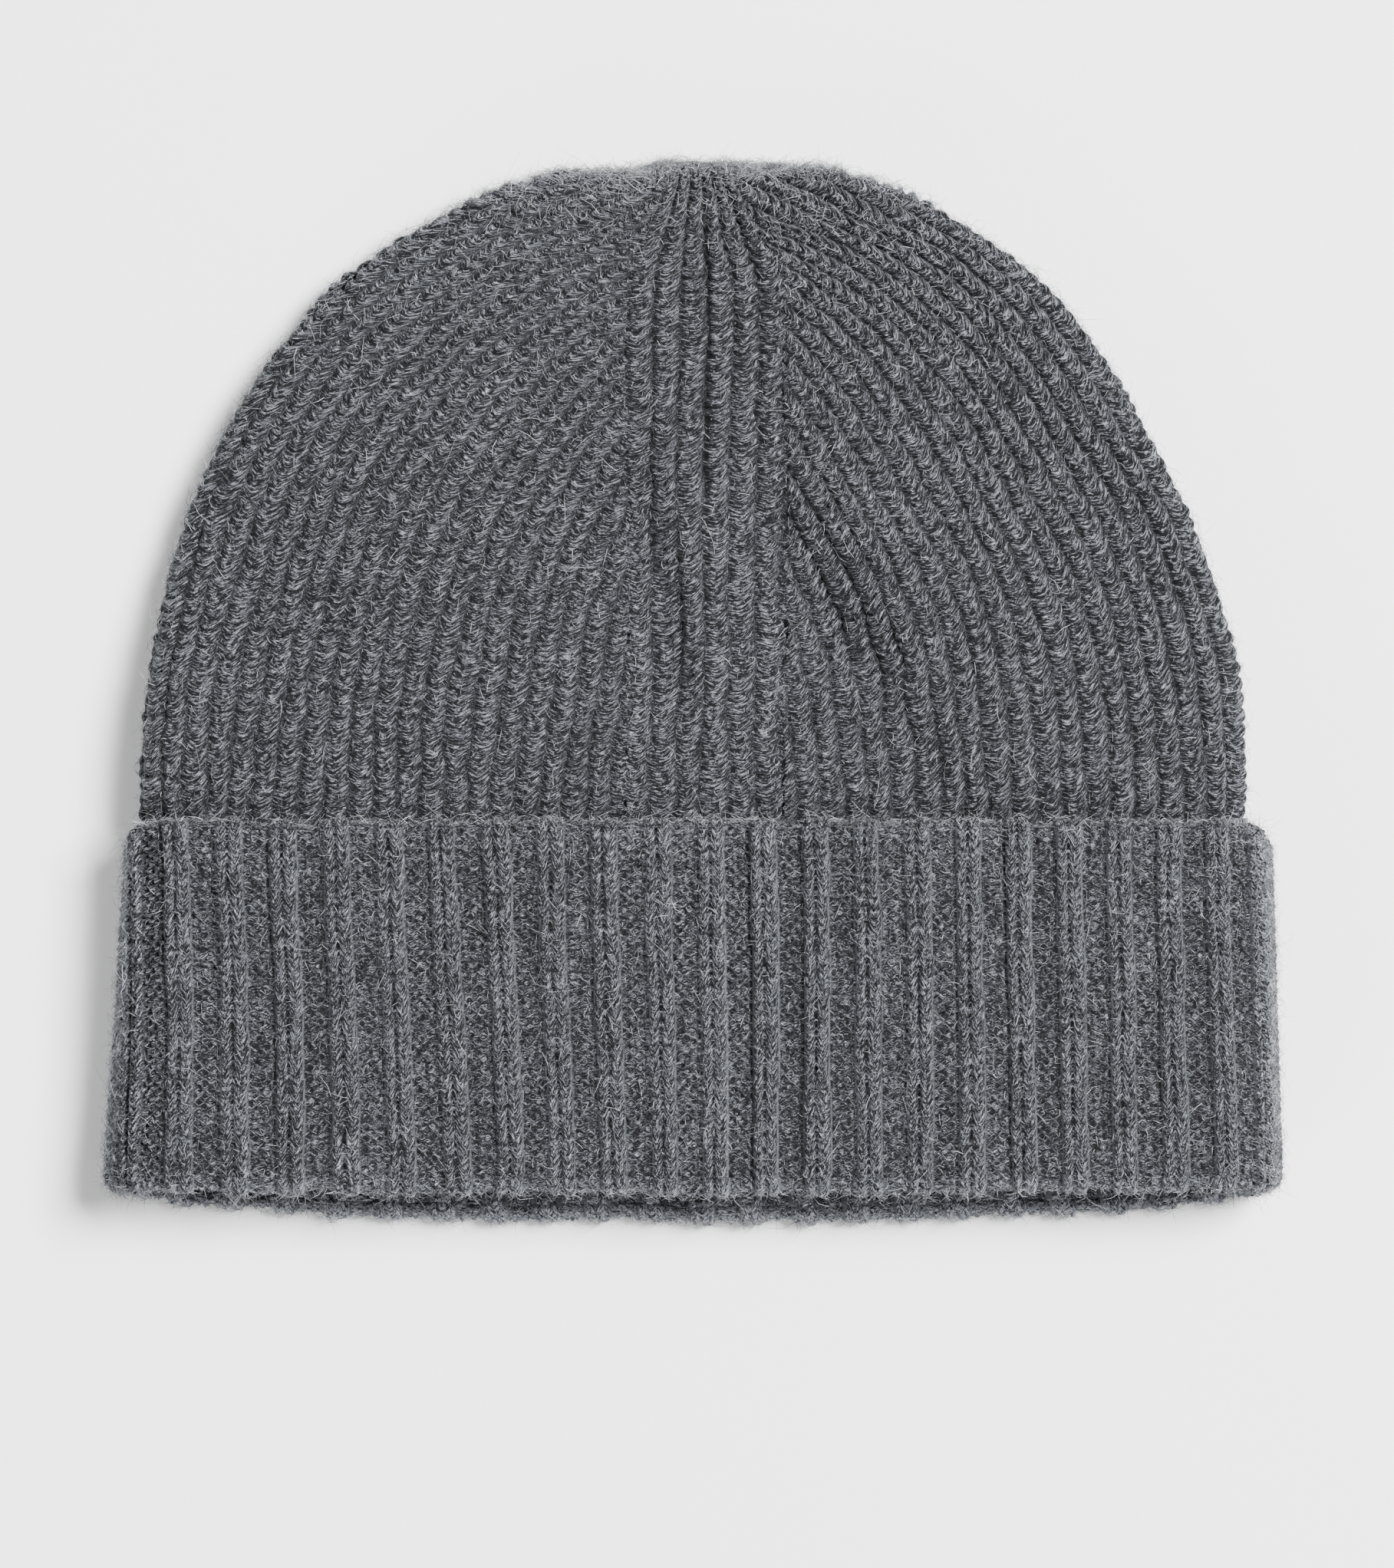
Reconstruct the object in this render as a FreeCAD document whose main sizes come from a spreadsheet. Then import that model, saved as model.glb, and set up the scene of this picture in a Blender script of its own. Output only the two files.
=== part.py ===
import FreeCAD, Part
import Sketcher
import math
import os

# A chunky knit beanie lying flat on its back, with its deep cuff turned up.
# Origin: middle of the underside. +X towards the wearer's left, +Y from the mouth towards the
# crown's tip, and +Z up from the surface that the hat lies on, out of the hat's front.
# Each node is a region of the knitting, a seam yarn, or a small sewn-in piece.

doc = FreeCAD.newDocument("KnitBeanie")

# ---------------------------------------------------------------- driving dimensions, in mm
sheet = doc.addObject("Spreadsheet::Sheet", "Sheet")
DIMENSIONS = [
    ("outside", "0", "inset of the cuff's own outer surface, which other insets count from"),
    ("cuff_thickness", "25", "height of the turned-up cuff as it lies, floor to top"),
    ("cuff_fabric", "3.5", "thickness of the turned-up layer"),
    ("lining_fabric", "3.2", "thickness of the cuff's inner layer"),
    ("layer_gap", "0.4", "air between the turned-up layer and what is under it"),
    ("mouth_half_width", "115.2", "half width of the cuff at its folded edge"),
    ("cuff_top_half_width", "112", "half width of the cuff at its free edge"),
    ("mouth_back", "-104.7", "Y of the folded edge on the back layer"),
    ("mouth_front", "-99.2", "Y of the folded edge on the front layer"),
    ("ring_start", "-106", "Y where the rings' cross-sections start, just past the fold"),
    ("cuff_top", "-25", "Y of the cuff's free edge"),
    ("fold_depth", "5", "depth of the folded edge's roll"),
    ("fold_round", "2.8", "rounding of the folded edge"),
    ("edge_band", "2.5", "height of the cast-on chain along the cuff's free edge"),
    ("hood_fabric", "3.2", "thickness of the body's half-cardigan rib"),
    ("hood_tip", "103.9", "Y of the crown's tip"),
    ("crown_reach", "100", "radius of the crown's top arc"),
    ("hood_round", "8", "rounding of the hood's side folds"),
    ("pressed", "0.1", "how far the hat's weight presses its back flat"),
    ("hood_tilt", "1.7", "slope of the hood, from the cuff down to the surface"),
    ("column_left", "-13.5", "X of the centre column's left edge"),
    ("column_right", "17.1", "X of the centre column's right edge"),
    ("seam_width", "1.2", "width of a seam yarn"),
    ("dart_centre", "1.8", "X of the dart seam in the front column"),
    ("dart_low", "9", "Y of the dart seam's lower end"),
    ("dart_high", "96", "Y of the dart seam's upper end"),
    ("gather_ring", "3.6", "radius of the drawn-up ring of yarn inside the tip"),
    ("gather_yarn", "0.8", "radius of the gathering yarn"),
    ("knot_size", "1.7", "radius of the gathering yarn's knot"),
    ("tail_length", "26", "length of the woven-in yarn end"),
    ("label_width", "22", "width of the blank care label"),
    ("label_length", "30", "length of the care label below its stitches"),
    ("label_cloth", "0.9", "thickness of the folded label tape"),
    ("label_clear", "0.25", "air between the label and the knitting"),
    ("label_low", "-18", "Y of the label's free end"),
    ("stitch_band", "2", "width of the line of stitches that holds the label"),
    ("margin", "6", "how far a cutting solid runs past what it cuts"),
    ("reach", "130", "half size of a cutting solid"),
]
for row, (alias, value, note) in enumerate(DIMENSIONS, start=1):
    sheet.set(f"A{row}", alias)
    sheet.set(f"B{row}", value)
    sheet.set(f"C{row}", note)
    sheet.setAlias(f"B{row}", alias)

# Worked-out sizes, as formulas of the cells above.
FORMULAS = [
    ("lining_inset", "=cuff_fabric + layer_gap", "from the cuff's outside to the lining's"),
    ("cavity_inset", "=lining_inset + lining_fabric", "from the cuff's outside to the cavity"),
    ("hood_thickness", "=cuff_thickness - 2 * lining_inset", "height of the hood as it lies"),
    ("hood_half_width", "=cuff_top_half_width - lining_inset", "half width of the hood at the cuff"),
    ("mouth_slope", "=(mouth_front - mouth_back) / cuff_thickness", "slant of the mouth, Y per Z"),
    ("taper", "=(mouth_half_width - cuff_top_half_width) / (cuff_top - mouth_back)", "per mm of Y"),
]
for row, (alias, formula, note) in enumerate(FORMULAS, start=len(DIMENSIONS) + 1):
    sheet.set(f"A{row}", alias)
    sheet.set(f"B{row}", formula)
    sheet.set(f"C{row}", note)
    sheet.setAlias(f"B{row}", alias)
doc.recompute()


def size(alias):
    """A cell's value as a plain number."""
    return float(sheet.get(alias))


pieces = []


def add(kind, name):
    """A new object of the document whose Label is its name."""
    thing = doc.addObject(kind, name)
    thing.Label = name
    return thing


def keep(thing):
    """Marks a finished sub-part, which is written out under its own name."""
    pieces.append(thing)
    return thing


def bind(thing, **formulas):
    """Ties properties of an object to expressions of the sheet."""
    for name, formula in formulas.items():
        thing.setExpression(name, formula)


def plane_of(body, role):
    """One of a body's own origin planes."""
    return next(f for f in body.Origin.OriginFeatures if f.Role == role)


def sketch_on(body, role, name):
    """An empty sketch on one of the body's origin planes."""
    sketch = body.newObject("Sketcher::SketchObject", name)
    sketch.AttachmentSupport = (plane_of(body, role), [""])
    sketch.MapMode = "FlatFace"
    return sketch


def constrain(sketch, kind, *where, formula=None, value=0.0):
    """One constraint; with a formula it is a dimension that follows the sheet."""
    if formula is None:
        return sketch.addConstraint(Sketcher.Constraint(kind, *where))
    index = sketch.addConstraint(Sketcher.Constraint(kind, *where, value))
    sketch.setExpression(f"Constraints[{index}]", formula)
    return index


START, END, CENTRE = 1, 2, 3
ORIGIN_POINT = (-1, 1)
VERTICAL_AXIS = -2
POINT_ONLY = 0
UP = FreeCAD.Vector(0, 0, 1)


# ---------------------------------------------------------------- the cuff's flattened rings
def stadium_sketch(body, name, y, inset):
    """A flattened ring's cross-section across the hat at one Y: two flats and two half circles."""
    sketch = sketch_on(body, "XZ_Plane", name)
    wide = size("cuff_top_half_width") + size("taper") * (size("cuff_top") - size(y)) - size(inset)
    half = size("cuff_thickness") / 2 - size(inset)
    run = wide - half
    right = FreeCAD.Vector(run, 0, 0)
    left = FreeCAD.Vector(-run, 0, 0)
    top = FreeCAD.Vector(0, half, 0)
    sketch.addGeometry(Part.LineSegment(right + top, left + top))
    arc = Part.Circle(left, UP, half)
    sketch.addGeometry(Part.ArcOfCircle(arc, math.pi / 2, 3 * math.pi / 2))
    sketch.addGeometry(Part.LineSegment(left - top, right - top))
    arc = Part.Circle(right, UP, half)
    sketch.addGeometry(Part.ArcOfCircle(arc, -math.pi / 2, math.pi / 2))
    for first, second in ((0, 1), (1, 2), (2, 3), (3, 0)):
        constrain(sketch, "Tangent", first, END, second, START)
    constrain(sketch, "Horizontal", 0)
    constrain(sketch, "Equal", 1, 3)
    constrain(sketch, "Symmetric", 1, CENTRE, 3, CENTRE, *ORIGIN_POINT)
    constrain(sketch, "Radius", 1, formula=f"Sheet.cuff_thickness / 2 - Sheet.{inset}", value=half)
    wide_formula = (
        f"Sheet.cuff_top_half_width + Sheet.taper * (Sheet.cuff_top - Sheet.{y}) - Sheet.{inset}"
    )
    run_formula = f"2 * ({wide_formula} - Sheet.cuff_thickness / 2 + Sheet.{inset})"
    constrain(sketch, "DistanceX", 1, CENTRE, 3, CENTRE, formula=run_formula, value=2 * run)
    # The plane's own normal points to -Y. The ring's middle is half the cuff's height up, and
    # its back reaches a little below the surface, where it is cut off flat.
    sketch.AttachmentOffset = FreeCAD.Placement(
        FreeCAD.Vector(0, size("cuff_thickness") / 2 - size("pressed"), -size(y)),
        FreeCAD.Rotation(),
    )
    sketch.setExpression("AttachmentOffset.Base.y", "Sheet.cuff_thickness / 2 - Sheet.pressed")
    sketch.setExpression("AttachmentOffset.Base.z", f"-Sheet.{y}")
    return sketch


def ring_wall(name, outer_inset, inner_inset):
    """A flattened, slightly tapered tube from the mouth to the cuff's free edge."""
    body = add("PartDesign::Body", name)
    for kind, label, inset in (
        ("PartDesign::AdditiveLoft", "outside", outer_inset),
        ("PartDesign::SubtractiveLoft", "inside", inner_inset),
    ):
        low = stadium_sketch(body, f"{name}_{label}_mouth", "ring_start", inset)
        high = stadium_sketch(body, f"{name}_{label}_edge", "cuff_top", inset)
        loft = body.newObject(kind, f"{name}_{label}")
        loft.Profile = low
        loft.Sections = [high]
        loft.Ruled = True
    return body


def slanted_slab(name, low, high):
    """A slab across the hat between two slanted planes, given as (Y at Z 0, slope) formulas."""
    body = add("PartDesign::Body", name)
    sketch = sketch_on(body, "YZ_Plane", f"{name}_profile")
    bottom = -size("margin")
    top = size("cuff_thickness") + size("margin")
    corners = []
    for edge, heights in ((low, (top, bottom)), (high, (bottom, top))):
        at, slope = edge
        for height in heights:
            corners.append(FreeCAD.Vector(at[1] + slope[1] * height, height, 0))
    for first, second in ((0, 1), (1, 2), (2, 3), (3, 0)):
        sketch.addGeometry(Part.LineSegment(corners[first], corners[second]))
    for first, second in ((0, 1), (1, 2), (2, 3), (3, 0)):
        constrain(sketch, "Coincident", first, END, second, START)
    top_formula = "(Sheet.cuff_thickness + Sheet.margin)"
    heights = (top_formula, "(-Sheet.margin)", "(-Sheet.margin)", top_formula)
    edges = (low, low, high, high)
    for corner, (height, (at, slope)) in enumerate(zip(heights, edges)):
        place = f"{at[0]} + {slope[0]} * {height}"
        point = (*ORIGIN_POINT, corner, START)
        constrain(sketch, "DistanceX", *point, formula=place, value=corners[corner].x)
        constrain(sketch, "DistanceY", *point, formula=height, value=corners[corner].y)
    pad = body.newObject("PartDesign::Pad", f"{name}_pad")
    pad.Profile = sketch
    pad.SideType = "Symmetric"
    bind(pad, Length="2 * Sheet.reach")
    return body


def common(name, base, tool):
    """What two solids share."""
    both = add("Part::Common", name)
    both.Base = base
    both.Tool = tool
    return both


def less(name, base, tool):
    """The base solid without the tool."""
    rest = add("Part::Cut", name)
    rest.Base = base
    rest.Tool = tool
    return rest


FLAT = ("0", 0.0)
SLANT = ("Sheet.mouth_slope", size("mouth_slope"))
MOUTH = (("Sheet.mouth_back", size("mouth_back")), SLANT)
FOLD = (("(Sheet.mouth_back + Sheet.fold_depth)", size("mouth_back") + size("fold_depth")), SLANT)
CHAIN = (("(Sheet.cuff_top - Sheet.edge_band)", size("cuff_top") - size("edge_band")), FLAT)
TOP = (("Sheet.cuff_top", size("cuff_top")), FLAT)

turn_up_wall = ring_wall("turn_up_wall", "outside", "cuff_fabric")
lining_wall = ring_wall("lining_wall", "lining_inset", "cavity_inset")
double_wall = ring_wall("double_wall", "outside", "cavity_inset")
fold_zone = slanted_slab("fold_zone", MOUTH, FOLD)
turn_up_zone = slanted_slab("turn_up_zone", FOLD, CHAIN)
chain_zone = slanted_slab("chain_zone", CHAIN, TOP)
lining_zone = slanted_slab("lining_zone", FOLD, TOP)


def block(name, west, east, south, north, low, high):
    """A level cutting box between three pairs of formulas."""
    box = add("Part::Box", name)
    bind(box, Length=f"{east} - ({west})", Width=f"{north} - ({south})", Height=f"{high} - ({low})")
    for axis, formula in (("x", west), ("y", south), ("z", low)):
        box.setExpression(f"Placement.Base.{axis}", formula)
    return box


FAR = "Sheet.reach"
NEAR = "-Sheet.reach"
SEAM_LEFT = "-Sheet.seam_width / 2"
SEAM_RIGHT = "Sheet.seam_width / 2"
CUFF_MIDDLE = "Sheet.cuff_thickness / 2"

# The centre-back seam runs up the middle of the back half of every ring.
cuff_slot = block("cuff_seam_slot", SEAM_LEFT, SEAM_RIGHT, NEAR, FAR, NEAR, CUFF_MIDDLE)

# Everything below the surface that the hat lies on.
below = block("below_surface", NEAR, FAR, NEAR, FAR, NEAR, "0")

# The turned-up layer, a flattened band that is open at both ends.
turn_up_ring = common("turn_up_ring", turn_up_wall, turn_up_zone)
flat_ring = less("flat_ring", turn_up_ring, below)
keep(less("cuff_outer_band", flat_ring, cuff_slot))
keep(common("cuff_back_seam", flat_ring, cuff_slot))

# The cuff's inner layer, which goes round the head.
lining_ring = common("lining_ring", lining_wall, lining_zone)
keep(less("cuff_inner_band", lining_ring, cuff_slot))
keep(common("cuff_inner_seam", lining_ring, cuff_slot))

# The chain of cast-on stitches that finishes the cuff's free edge.
chain_ring = common("chain_ring", turn_up_wall, chain_zone)
keep(less("cast_on_edge", chain_ring, below))

# The roll where the rib turns back on itself, rounded at the mouth.
fold_ring = common("fold_ring", double_wall, fold_zone)
doc.recompute()


def on_mouth(edge):
    """True for an edge that lies in the slanted plane of the mouth."""
    middle = edge.valueAt((edge.FirstParameter + edge.LastParameter) / 2)
    ends = [vertex.Point for vertex in edge.Vertexes]
    plane = size("mouth_back")
    slope = size("mouth_slope")
    return all(abs(p.y - plane - slope * p.z) < 0.01 for p in (middle, *ends))


rounded_fold = add("Part::Fillet", "rounded_fold")
rounded_fold.Base = fold_ring
rounding = size("fold_round")
rounded_fold.Edges = [
    (index, rounding, rounding)
    for index, edge in enumerate(fold_ring.Shape.Edges, start=1)
    if on_mouth(edge)
]
keep(less("cuff_fold", rounded_fold, below))


# ---------------------------------------------------------------- the hood
def arch_sketch(body, name, inset):
    """The hood's outline seen from above: a straight mouth and an arch of three tangent arcs."""
    sketch = sketch_on(body, "XY_Plane", name)
    base = size("cuff_top")
    half = size("hood_half_width") - inset
    crown = size("crown_reach") - inset
    crown_y = size("hood_tip") - size("crown_reach")
    rise = crown_y - base + crown
    side = (half * half + rise * rise - 2 * rise * crown) / (2 * (half - crown))
    turn = math.atan2(crown_y - base, side - half)
    sketch.addGeometry(
        Part.LineSegment(FreeCAD.Vector(-half, base, 0), FreeCAD.Vector(half, base, 0))
    )
    circle = Part.Circle(FreeCAD.Vector(half - side, base, 0), UP, side)
    sketch.addGeometry(Part.ArcOfCircle(circle, 0, turn))
    circle = Part.Circle(FreeCAD.Vector(0, crown_y, 0), UP, crown)
    sketch.addGeometry(Part.ArcOfCircle(circle, turn, math.pi - turn))
    circle = Part.Circle(FreeCAD.Vector(side - half, base, 0), UP, side)
    sketch.addGeometry(Part.ArcOfCircle(circle, math.pi - turn, math.pi))
    constrain(sketch, "Coincident", 0, END, 1, START)
    constrain(sketch, "Tangent", 1, END, 2, START)
    constrain(sketch, "Tangent", 2, END, 3, START)
    constrain(sketch, "Coincident", 3, END, 0, START)
    constrain(sketch, "Symmetric", 0, START, 0, END, VERTICAL_AXIS, POINT_ONLY)
    constrain(sketch, "PointOnObject", 1, CENTRE, 0)
    constrain(sketch, "PointOnObject", 3, CENTRE, 0)
    constrain(sketch, "PointOnObject", 2, CENTRE, VERTICAL_AXIS)
    wide = f"2 * (Sheet.hood_half_width - {inset})"
    constrain(sketch, "DistanceX", 0, START, 0, END, formula=wide, value=2 * half)
    low = (*ORIGIN_POINT, 0, START)
    constrain(sketch, "DistanceY", *low, formula="Sheet.cuff_top", value=base)
    centre = (*ORIGIN_POINT, 2, CENTRE)
    centre_y = "Sheet.hood_tip - Sheet.crown_reach"
    constrain(sketch, "DistanceY", *centre, formula=centre_y, value=crown_y)
    reach = f"Sheet.crown_reach - {inset}"
    constrain(sketch, "Radius", 2, formula=reach, value=crown)
    return sketch


def pillow(name, inset):
    """A closed pillow of the arch's outline, rounded along its arcs and square at the mouth."""
    body = add("PartDesign::Body", name)
    sketch = arch_sketch(body, f"{name}_outline", inset)
    sketch.AttachmentOffset = FreeCAD.Placement(FreeCAD.Vector(0, 0, inset), FreeCAD.Rotation())
    pad = body.newObject("PartDesign::Pad", f"{name}_pad")
    pad.Profile = sketch
    bind(pad, Length=f"Sheet.hood_thickness - 2 * {inset}")
    doc.recompute()
    edges = [
        f"Edge{index}"
        for index, edge in enumerate(pad.Shape.Edges, start=1)
        if edge.Curve.TypeId == "Part::GeomCircle"
    ]
    fillet = body.newObject("PartDesign::Fillet", f"{name}_round")
    fillet.Base = (pad, edges)
    bind(fillet, Radius=f"Sheet.hood_round - {inset}")
    return body


fabric = size("hood_fabric")
hood_outside = pillow("hood_outside", 0)
hood_inside = pillow("hood_inside", fabric)
hood_wall = less("hood_wall", hood_outside, hood_inside)

MIDDLE = "Sheet.hood_thickness / 2"
LEFT_EDGE = "Sheet.column_left"
RIGHT_EDGE = "Sheet.column_right"
left_zone = block("left_zone", NEAR, LEFT_EDGE, NEAR, FAR, NEAR, FAR)
right_zone = block("right_zone", RIGHT_EDGE, FAR, NEAR, FAR, NEAR, FAR)
front_zone = block("front_zone", LEFT_EDGE, RIGHT_EDGE, NEAR, FAR, MIDDLE, FAR)
back_left_zone = block("back_left_zone", LEFT_EDGE, SEAM_LEFT, NEAR, FAR, NEAR, MIDDLE)
back_right_zone = block("back_right_zone", SEAM_RIGHT, RIGHT_EDGE, NEAR, FAR, NEAR, MIDDLE)
back_seam_zone = block("back_seam_zone", SEAM_LEFT, SEAM_RIGHT, NEAR, FAR, NEAR, MIDDLE)
dart_zone = block(
    "dart_zone",
    "Sheet.dart_centre - Sheet.seam_width / 2",
    "Sheet.dart_centre + Sheet.seam_width / 2",
    "Sheet.dart_low",
    "Sheet.dart_high",
    MIDDLE,
    FAR,
)

# The hood slopes from the cuff's lining down to the surface, about its own mouth's back edge.
TILT = FreeCAD.Rotation(FreeCAD.Vector(1, 0, 0), -size("hood_tilt"))
HINGE = FreeCAD.Vector(0, size("cuff_top"), 0)
RAISE = FreeCAD.Vector(0, 0, size("lining_inset") - size("pressed"))
HOOD_PLACE = FreeCAD.Placement(RAISE, TILT, HINGE)


def in_hood(thing, x=0, y=0, z=0, turn=None):
    """Puts a sub-part that was made level into the sloping hood."""
    local = FreeCAD.Placement(FreeCAD.Vector(x, y, z), turn or FreeCAD.Rotation())
    thing.Placement = HOOD_PLACE.multiply(local)
    return keep(thing)


# The side panels wrap round the hat's side folds, from column to column.
in_hood(common("left_side_panel", hood_wall, left_zone))
in_hood(common("right_side_panel", hood_wall, right_zone))

# The centre columns run straight from the cuff to the tip.
whole_front = common("whole_front_column", hood_wall, front_zone)
in_hood(less("front_column", whole_front, dart_zone))
in_hood(common("front_dart_seam", whole_front, dart_zone))
in_hood(common("back_column_left", hood_wall, back_left_zone))
in_hood(common("back_column_right", hood_wall, back_right_zone))
in_hood(common("back_seam", hood_wall, back_seam_zone))

# ---------------------------------------------------------------- yarn inside the tip
inside_tip = size("hood_tip") - fabric
middle_height = size("hood_thickness") / 2
air = size("label_clear")

gather_ring = add("Part::Torus", "crown_gather_yarn")
bind(gather_ring, Radius1="Sheet.gather_ring", Radius2="Sheet.gather_yarn")
ring_y = inside_tip - size("gather_yarn") - air
towards_tip = FreeCAD.Rotation(FreeCAD.Vector(1, 0, 0), 90)
in_hood(gather_ring, size("dart_centre"), ring_y, middle_height, towards_tip)

knot = add("Part::Sphere", "crown_knot")
bind(knot, Radius="Sheet.knot_size")
knot_y = ring_y - size("gather_yarn") - size("knot_size") - air
in_hood(knot, size("dart_centre"), knot_y, middle_height)

tail = add("Part::Cylinder", "yarn_tail")
bind(tail, Radius="Sheet.gather_yarn", Height="Sheet.tail_length")
tail_y = knot_y - size("knot_size")
tail_down = FreeCAD.Rotation(FreeCAD.Vector(1, 0, 0), 90)
in_hood(tail, size("dart_centre"), tail_y, middle_height, tail_down)

# ---------------------------------------------------------------- the sewn-in label, left blank
label = add("Part::Box", "care_label")
bind(label, Length="Sheet.label_width", Width="Sheet.label_length", Height="Sheet.label_cloth")
label_z = fabric + air
in_hood(label, -size("label_width") / 2, size("label_low"), label_z)

stitches = add("Part::Box", "label_stitches")
bind(stitches, Length="Sheet.label_width", Width="Sheet.stitch_band")
bind(stitches, Height="Sheet.label_cloth + Sheet.label_clear")
stitches_y = size("label_low") + size("label_length")
in_hood(stitches, -size("label_width") / 2, stitches_y, fabric)

# ---------------------------------------------------------------- check and write
doc.recompute()
for thing in doc.Objects:
    bad = [state for state in thing.State if state in ("Invalid", "Error")]
    if bad:
        raise RuntimeError(f"{thing.Label} is {bad}")
os.makedirs("parts", exist_ok=True)
for piece in pieces:
    shape = piece.Shape
    if shape.isNull() or not shape.isValid() or not shape.Solids:
        raise RuntimeError(f"{piece.Label} has no sound solid")
    shape.exportStep(f"parts/{piece.Label}.step")
    box = shape.BoundBox
    print(
        f"{piece.Label:20s} {shape.Volume / 1000:8.2f} cm3",
        f"solids {len(shape.Solids)}  X {box.XMin:7.1f} {box.XMax:7.1f}",
        f" Y {box.YMin:7.1f} {box.YMax:7.1f}  Z {box.ZMin:6.2f} {box.ZMax:6.2f}",
    )
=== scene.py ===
# %% [markdown]
# # A chunky knit beanie, laid flat
#
# The hat is one knitted panel: a deep cuff in 2x2 rib, turned up on itself, and a hood in a
# plump one-by-one rib that narrows to a tip. What the eye reads as "knitted" is relief: ribs
# about a millimetre high, and on every rib a ladder of stitches. So each piece of this model
# starts as a plain smooth surface, and a second function says how far the yarn stands out of
# it at each point. Yarn hairs, seams and a wool material come on top.
#
# Lengths are in millimetres until a mesh is made, and then they are turned into metres.

# %% Load the hard facts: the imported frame
import bpy
import numpy as np
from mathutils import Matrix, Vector


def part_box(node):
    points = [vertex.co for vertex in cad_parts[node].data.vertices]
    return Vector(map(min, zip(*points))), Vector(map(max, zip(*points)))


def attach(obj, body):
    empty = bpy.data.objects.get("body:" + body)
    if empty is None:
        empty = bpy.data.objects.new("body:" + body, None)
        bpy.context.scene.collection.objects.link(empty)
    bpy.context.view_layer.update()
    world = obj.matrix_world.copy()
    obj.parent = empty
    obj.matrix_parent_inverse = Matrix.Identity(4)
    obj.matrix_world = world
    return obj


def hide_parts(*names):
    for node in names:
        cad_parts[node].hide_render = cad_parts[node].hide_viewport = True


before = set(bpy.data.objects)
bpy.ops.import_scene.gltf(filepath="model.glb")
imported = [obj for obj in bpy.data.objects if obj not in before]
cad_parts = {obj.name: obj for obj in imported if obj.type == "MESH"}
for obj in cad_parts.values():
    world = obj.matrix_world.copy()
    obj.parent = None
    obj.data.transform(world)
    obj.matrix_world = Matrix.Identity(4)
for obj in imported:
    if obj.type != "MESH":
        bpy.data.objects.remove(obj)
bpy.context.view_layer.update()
MM = 0.001


def corners(node):
    """A frame node's lowest and highest corners, in millimetres."""
    low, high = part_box(node)
    return np.array(low) / MM, np.array(high) / MM


band_low, band_high = corners("cuff_outer_band")
lining_low = corners("cuff_inner_band")[0]
chain_high = corners("cast_on_edge")[1]
fold_high = corners("cuff_fold")[1]
column_low, column_high = corners("front_column")
CUFF_TOP = chain_high[1]
TIP = column_high[1]
print("cuff's free edge at", CUFF_TOP, "tip at", TIP, "cuff", band_high - band_low)

# %% [markdown]
# ## Stage
#
# The hat lies on a pale table under a strong soft lamp from the upper right, a weak one from
# the lower left, and an even light from everywhere. The strong lamp's size gives the wide,
# soft-edged shadow that shows how thick the hat is. The camera looks straight down.

# %% Camera, table and lamps
CAMERA_HEIGHT = 1.6
VIEW_CENTRE = (0.0, -0.0183)
VIEW_LENGTH = 0.306
SENSOR = 36.0
HAT_MIDDLE = 0.012
LAMP_SIZE = 1.2
KEY_PLACE = (1.45, 0.80, 2.50)
KEY_POWER = 410.0
FILL_PLACE = (-1.4, -2.1, 0.78)
FILL_POWER = 70.0
ROOM_LIGHT = 0.38
TABLE_HALF = 3.0


def make_camera():
    """A long lens straight above: the lens is the sensor times distance over the length seen."""
    data = bpy.data.cameras.new("camera")
    data.sensor_width = SENSOR
    data.lens = SENSOR * (CAMERA_HEIGHT - HAT_MIDDLE) / VIEW_LENGTH
    camera = bpy.data.objects.new("camera", data)
    camera.location = (*VIEW_CENTRE, CAMERA_HEIGHT)
    bpy.context.scene.collection.objects.link(camera)
    bpy.context.scene.camera = camera
    return camera


def make_lamp(name, place, power):
    """A square area lamp at a place, turned to face the middle of the table."""
    data = bpy.data.lights.new(name, "AREA")
    data.shape = "SQUARE"
    data.size = LAMP_SIZE
    data.energy = power
    lamp = bpy.data.objects.new(name, data)
    lamp.rotation_euler = (-Vector(place)).to_track_quat("-Z", "Y").to_euler()
    lamp.location = place
    bpy.context.scene.collection.objects.link(lamp)
    return lamp


make_camera()
make_lamp("key_softbox", KEY_PLACE, KEY_POWER)
make_lamp("fill_softbox", FILL_PLACE, FILL_POWER)

world = bpy.data.worlds.new("studio")
bpy.context.scene.world = world
world.use_nodes = True
background = world.node_tree.nodes["Background"]
background.inputs["Color"].default_value = (1.0, 1.0, 1.0, 1.0)
background.inputs["Strength"].default_value = ROOM_LIGHT

table_mesh = bpy.data.meshes.new("table")
table_corners = [(x * TABLE_HALF, y * TABLE_HALF, 0.0) for x, y in ((-1, -1), (1, -1), (1, 1), (-1, 1))]
table_mesh.from_pydata(table_corners, [], [(0, 1, 2, 3)])
table = bpy.data.objects.new("table", table_mesh)
bpy.context.scene.collection.objects.link(table)
print("stage: a camera, two lamps, the room's light and a table")

# %% [markdown]
# ## Helpers for handmade unevenness
#
# Knitting is never perfectly even. `soft_noise` lays a net of seeded random numbers over
# the plane and blends smoothly between its knots, so hills and hollows are as wide as the
# net's cells. It works on whole arrays at once.

# %% Smooth seeded noise
NET = 64
ALMOST_ONE = 0.9999
TINY = 1e-9


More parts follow.
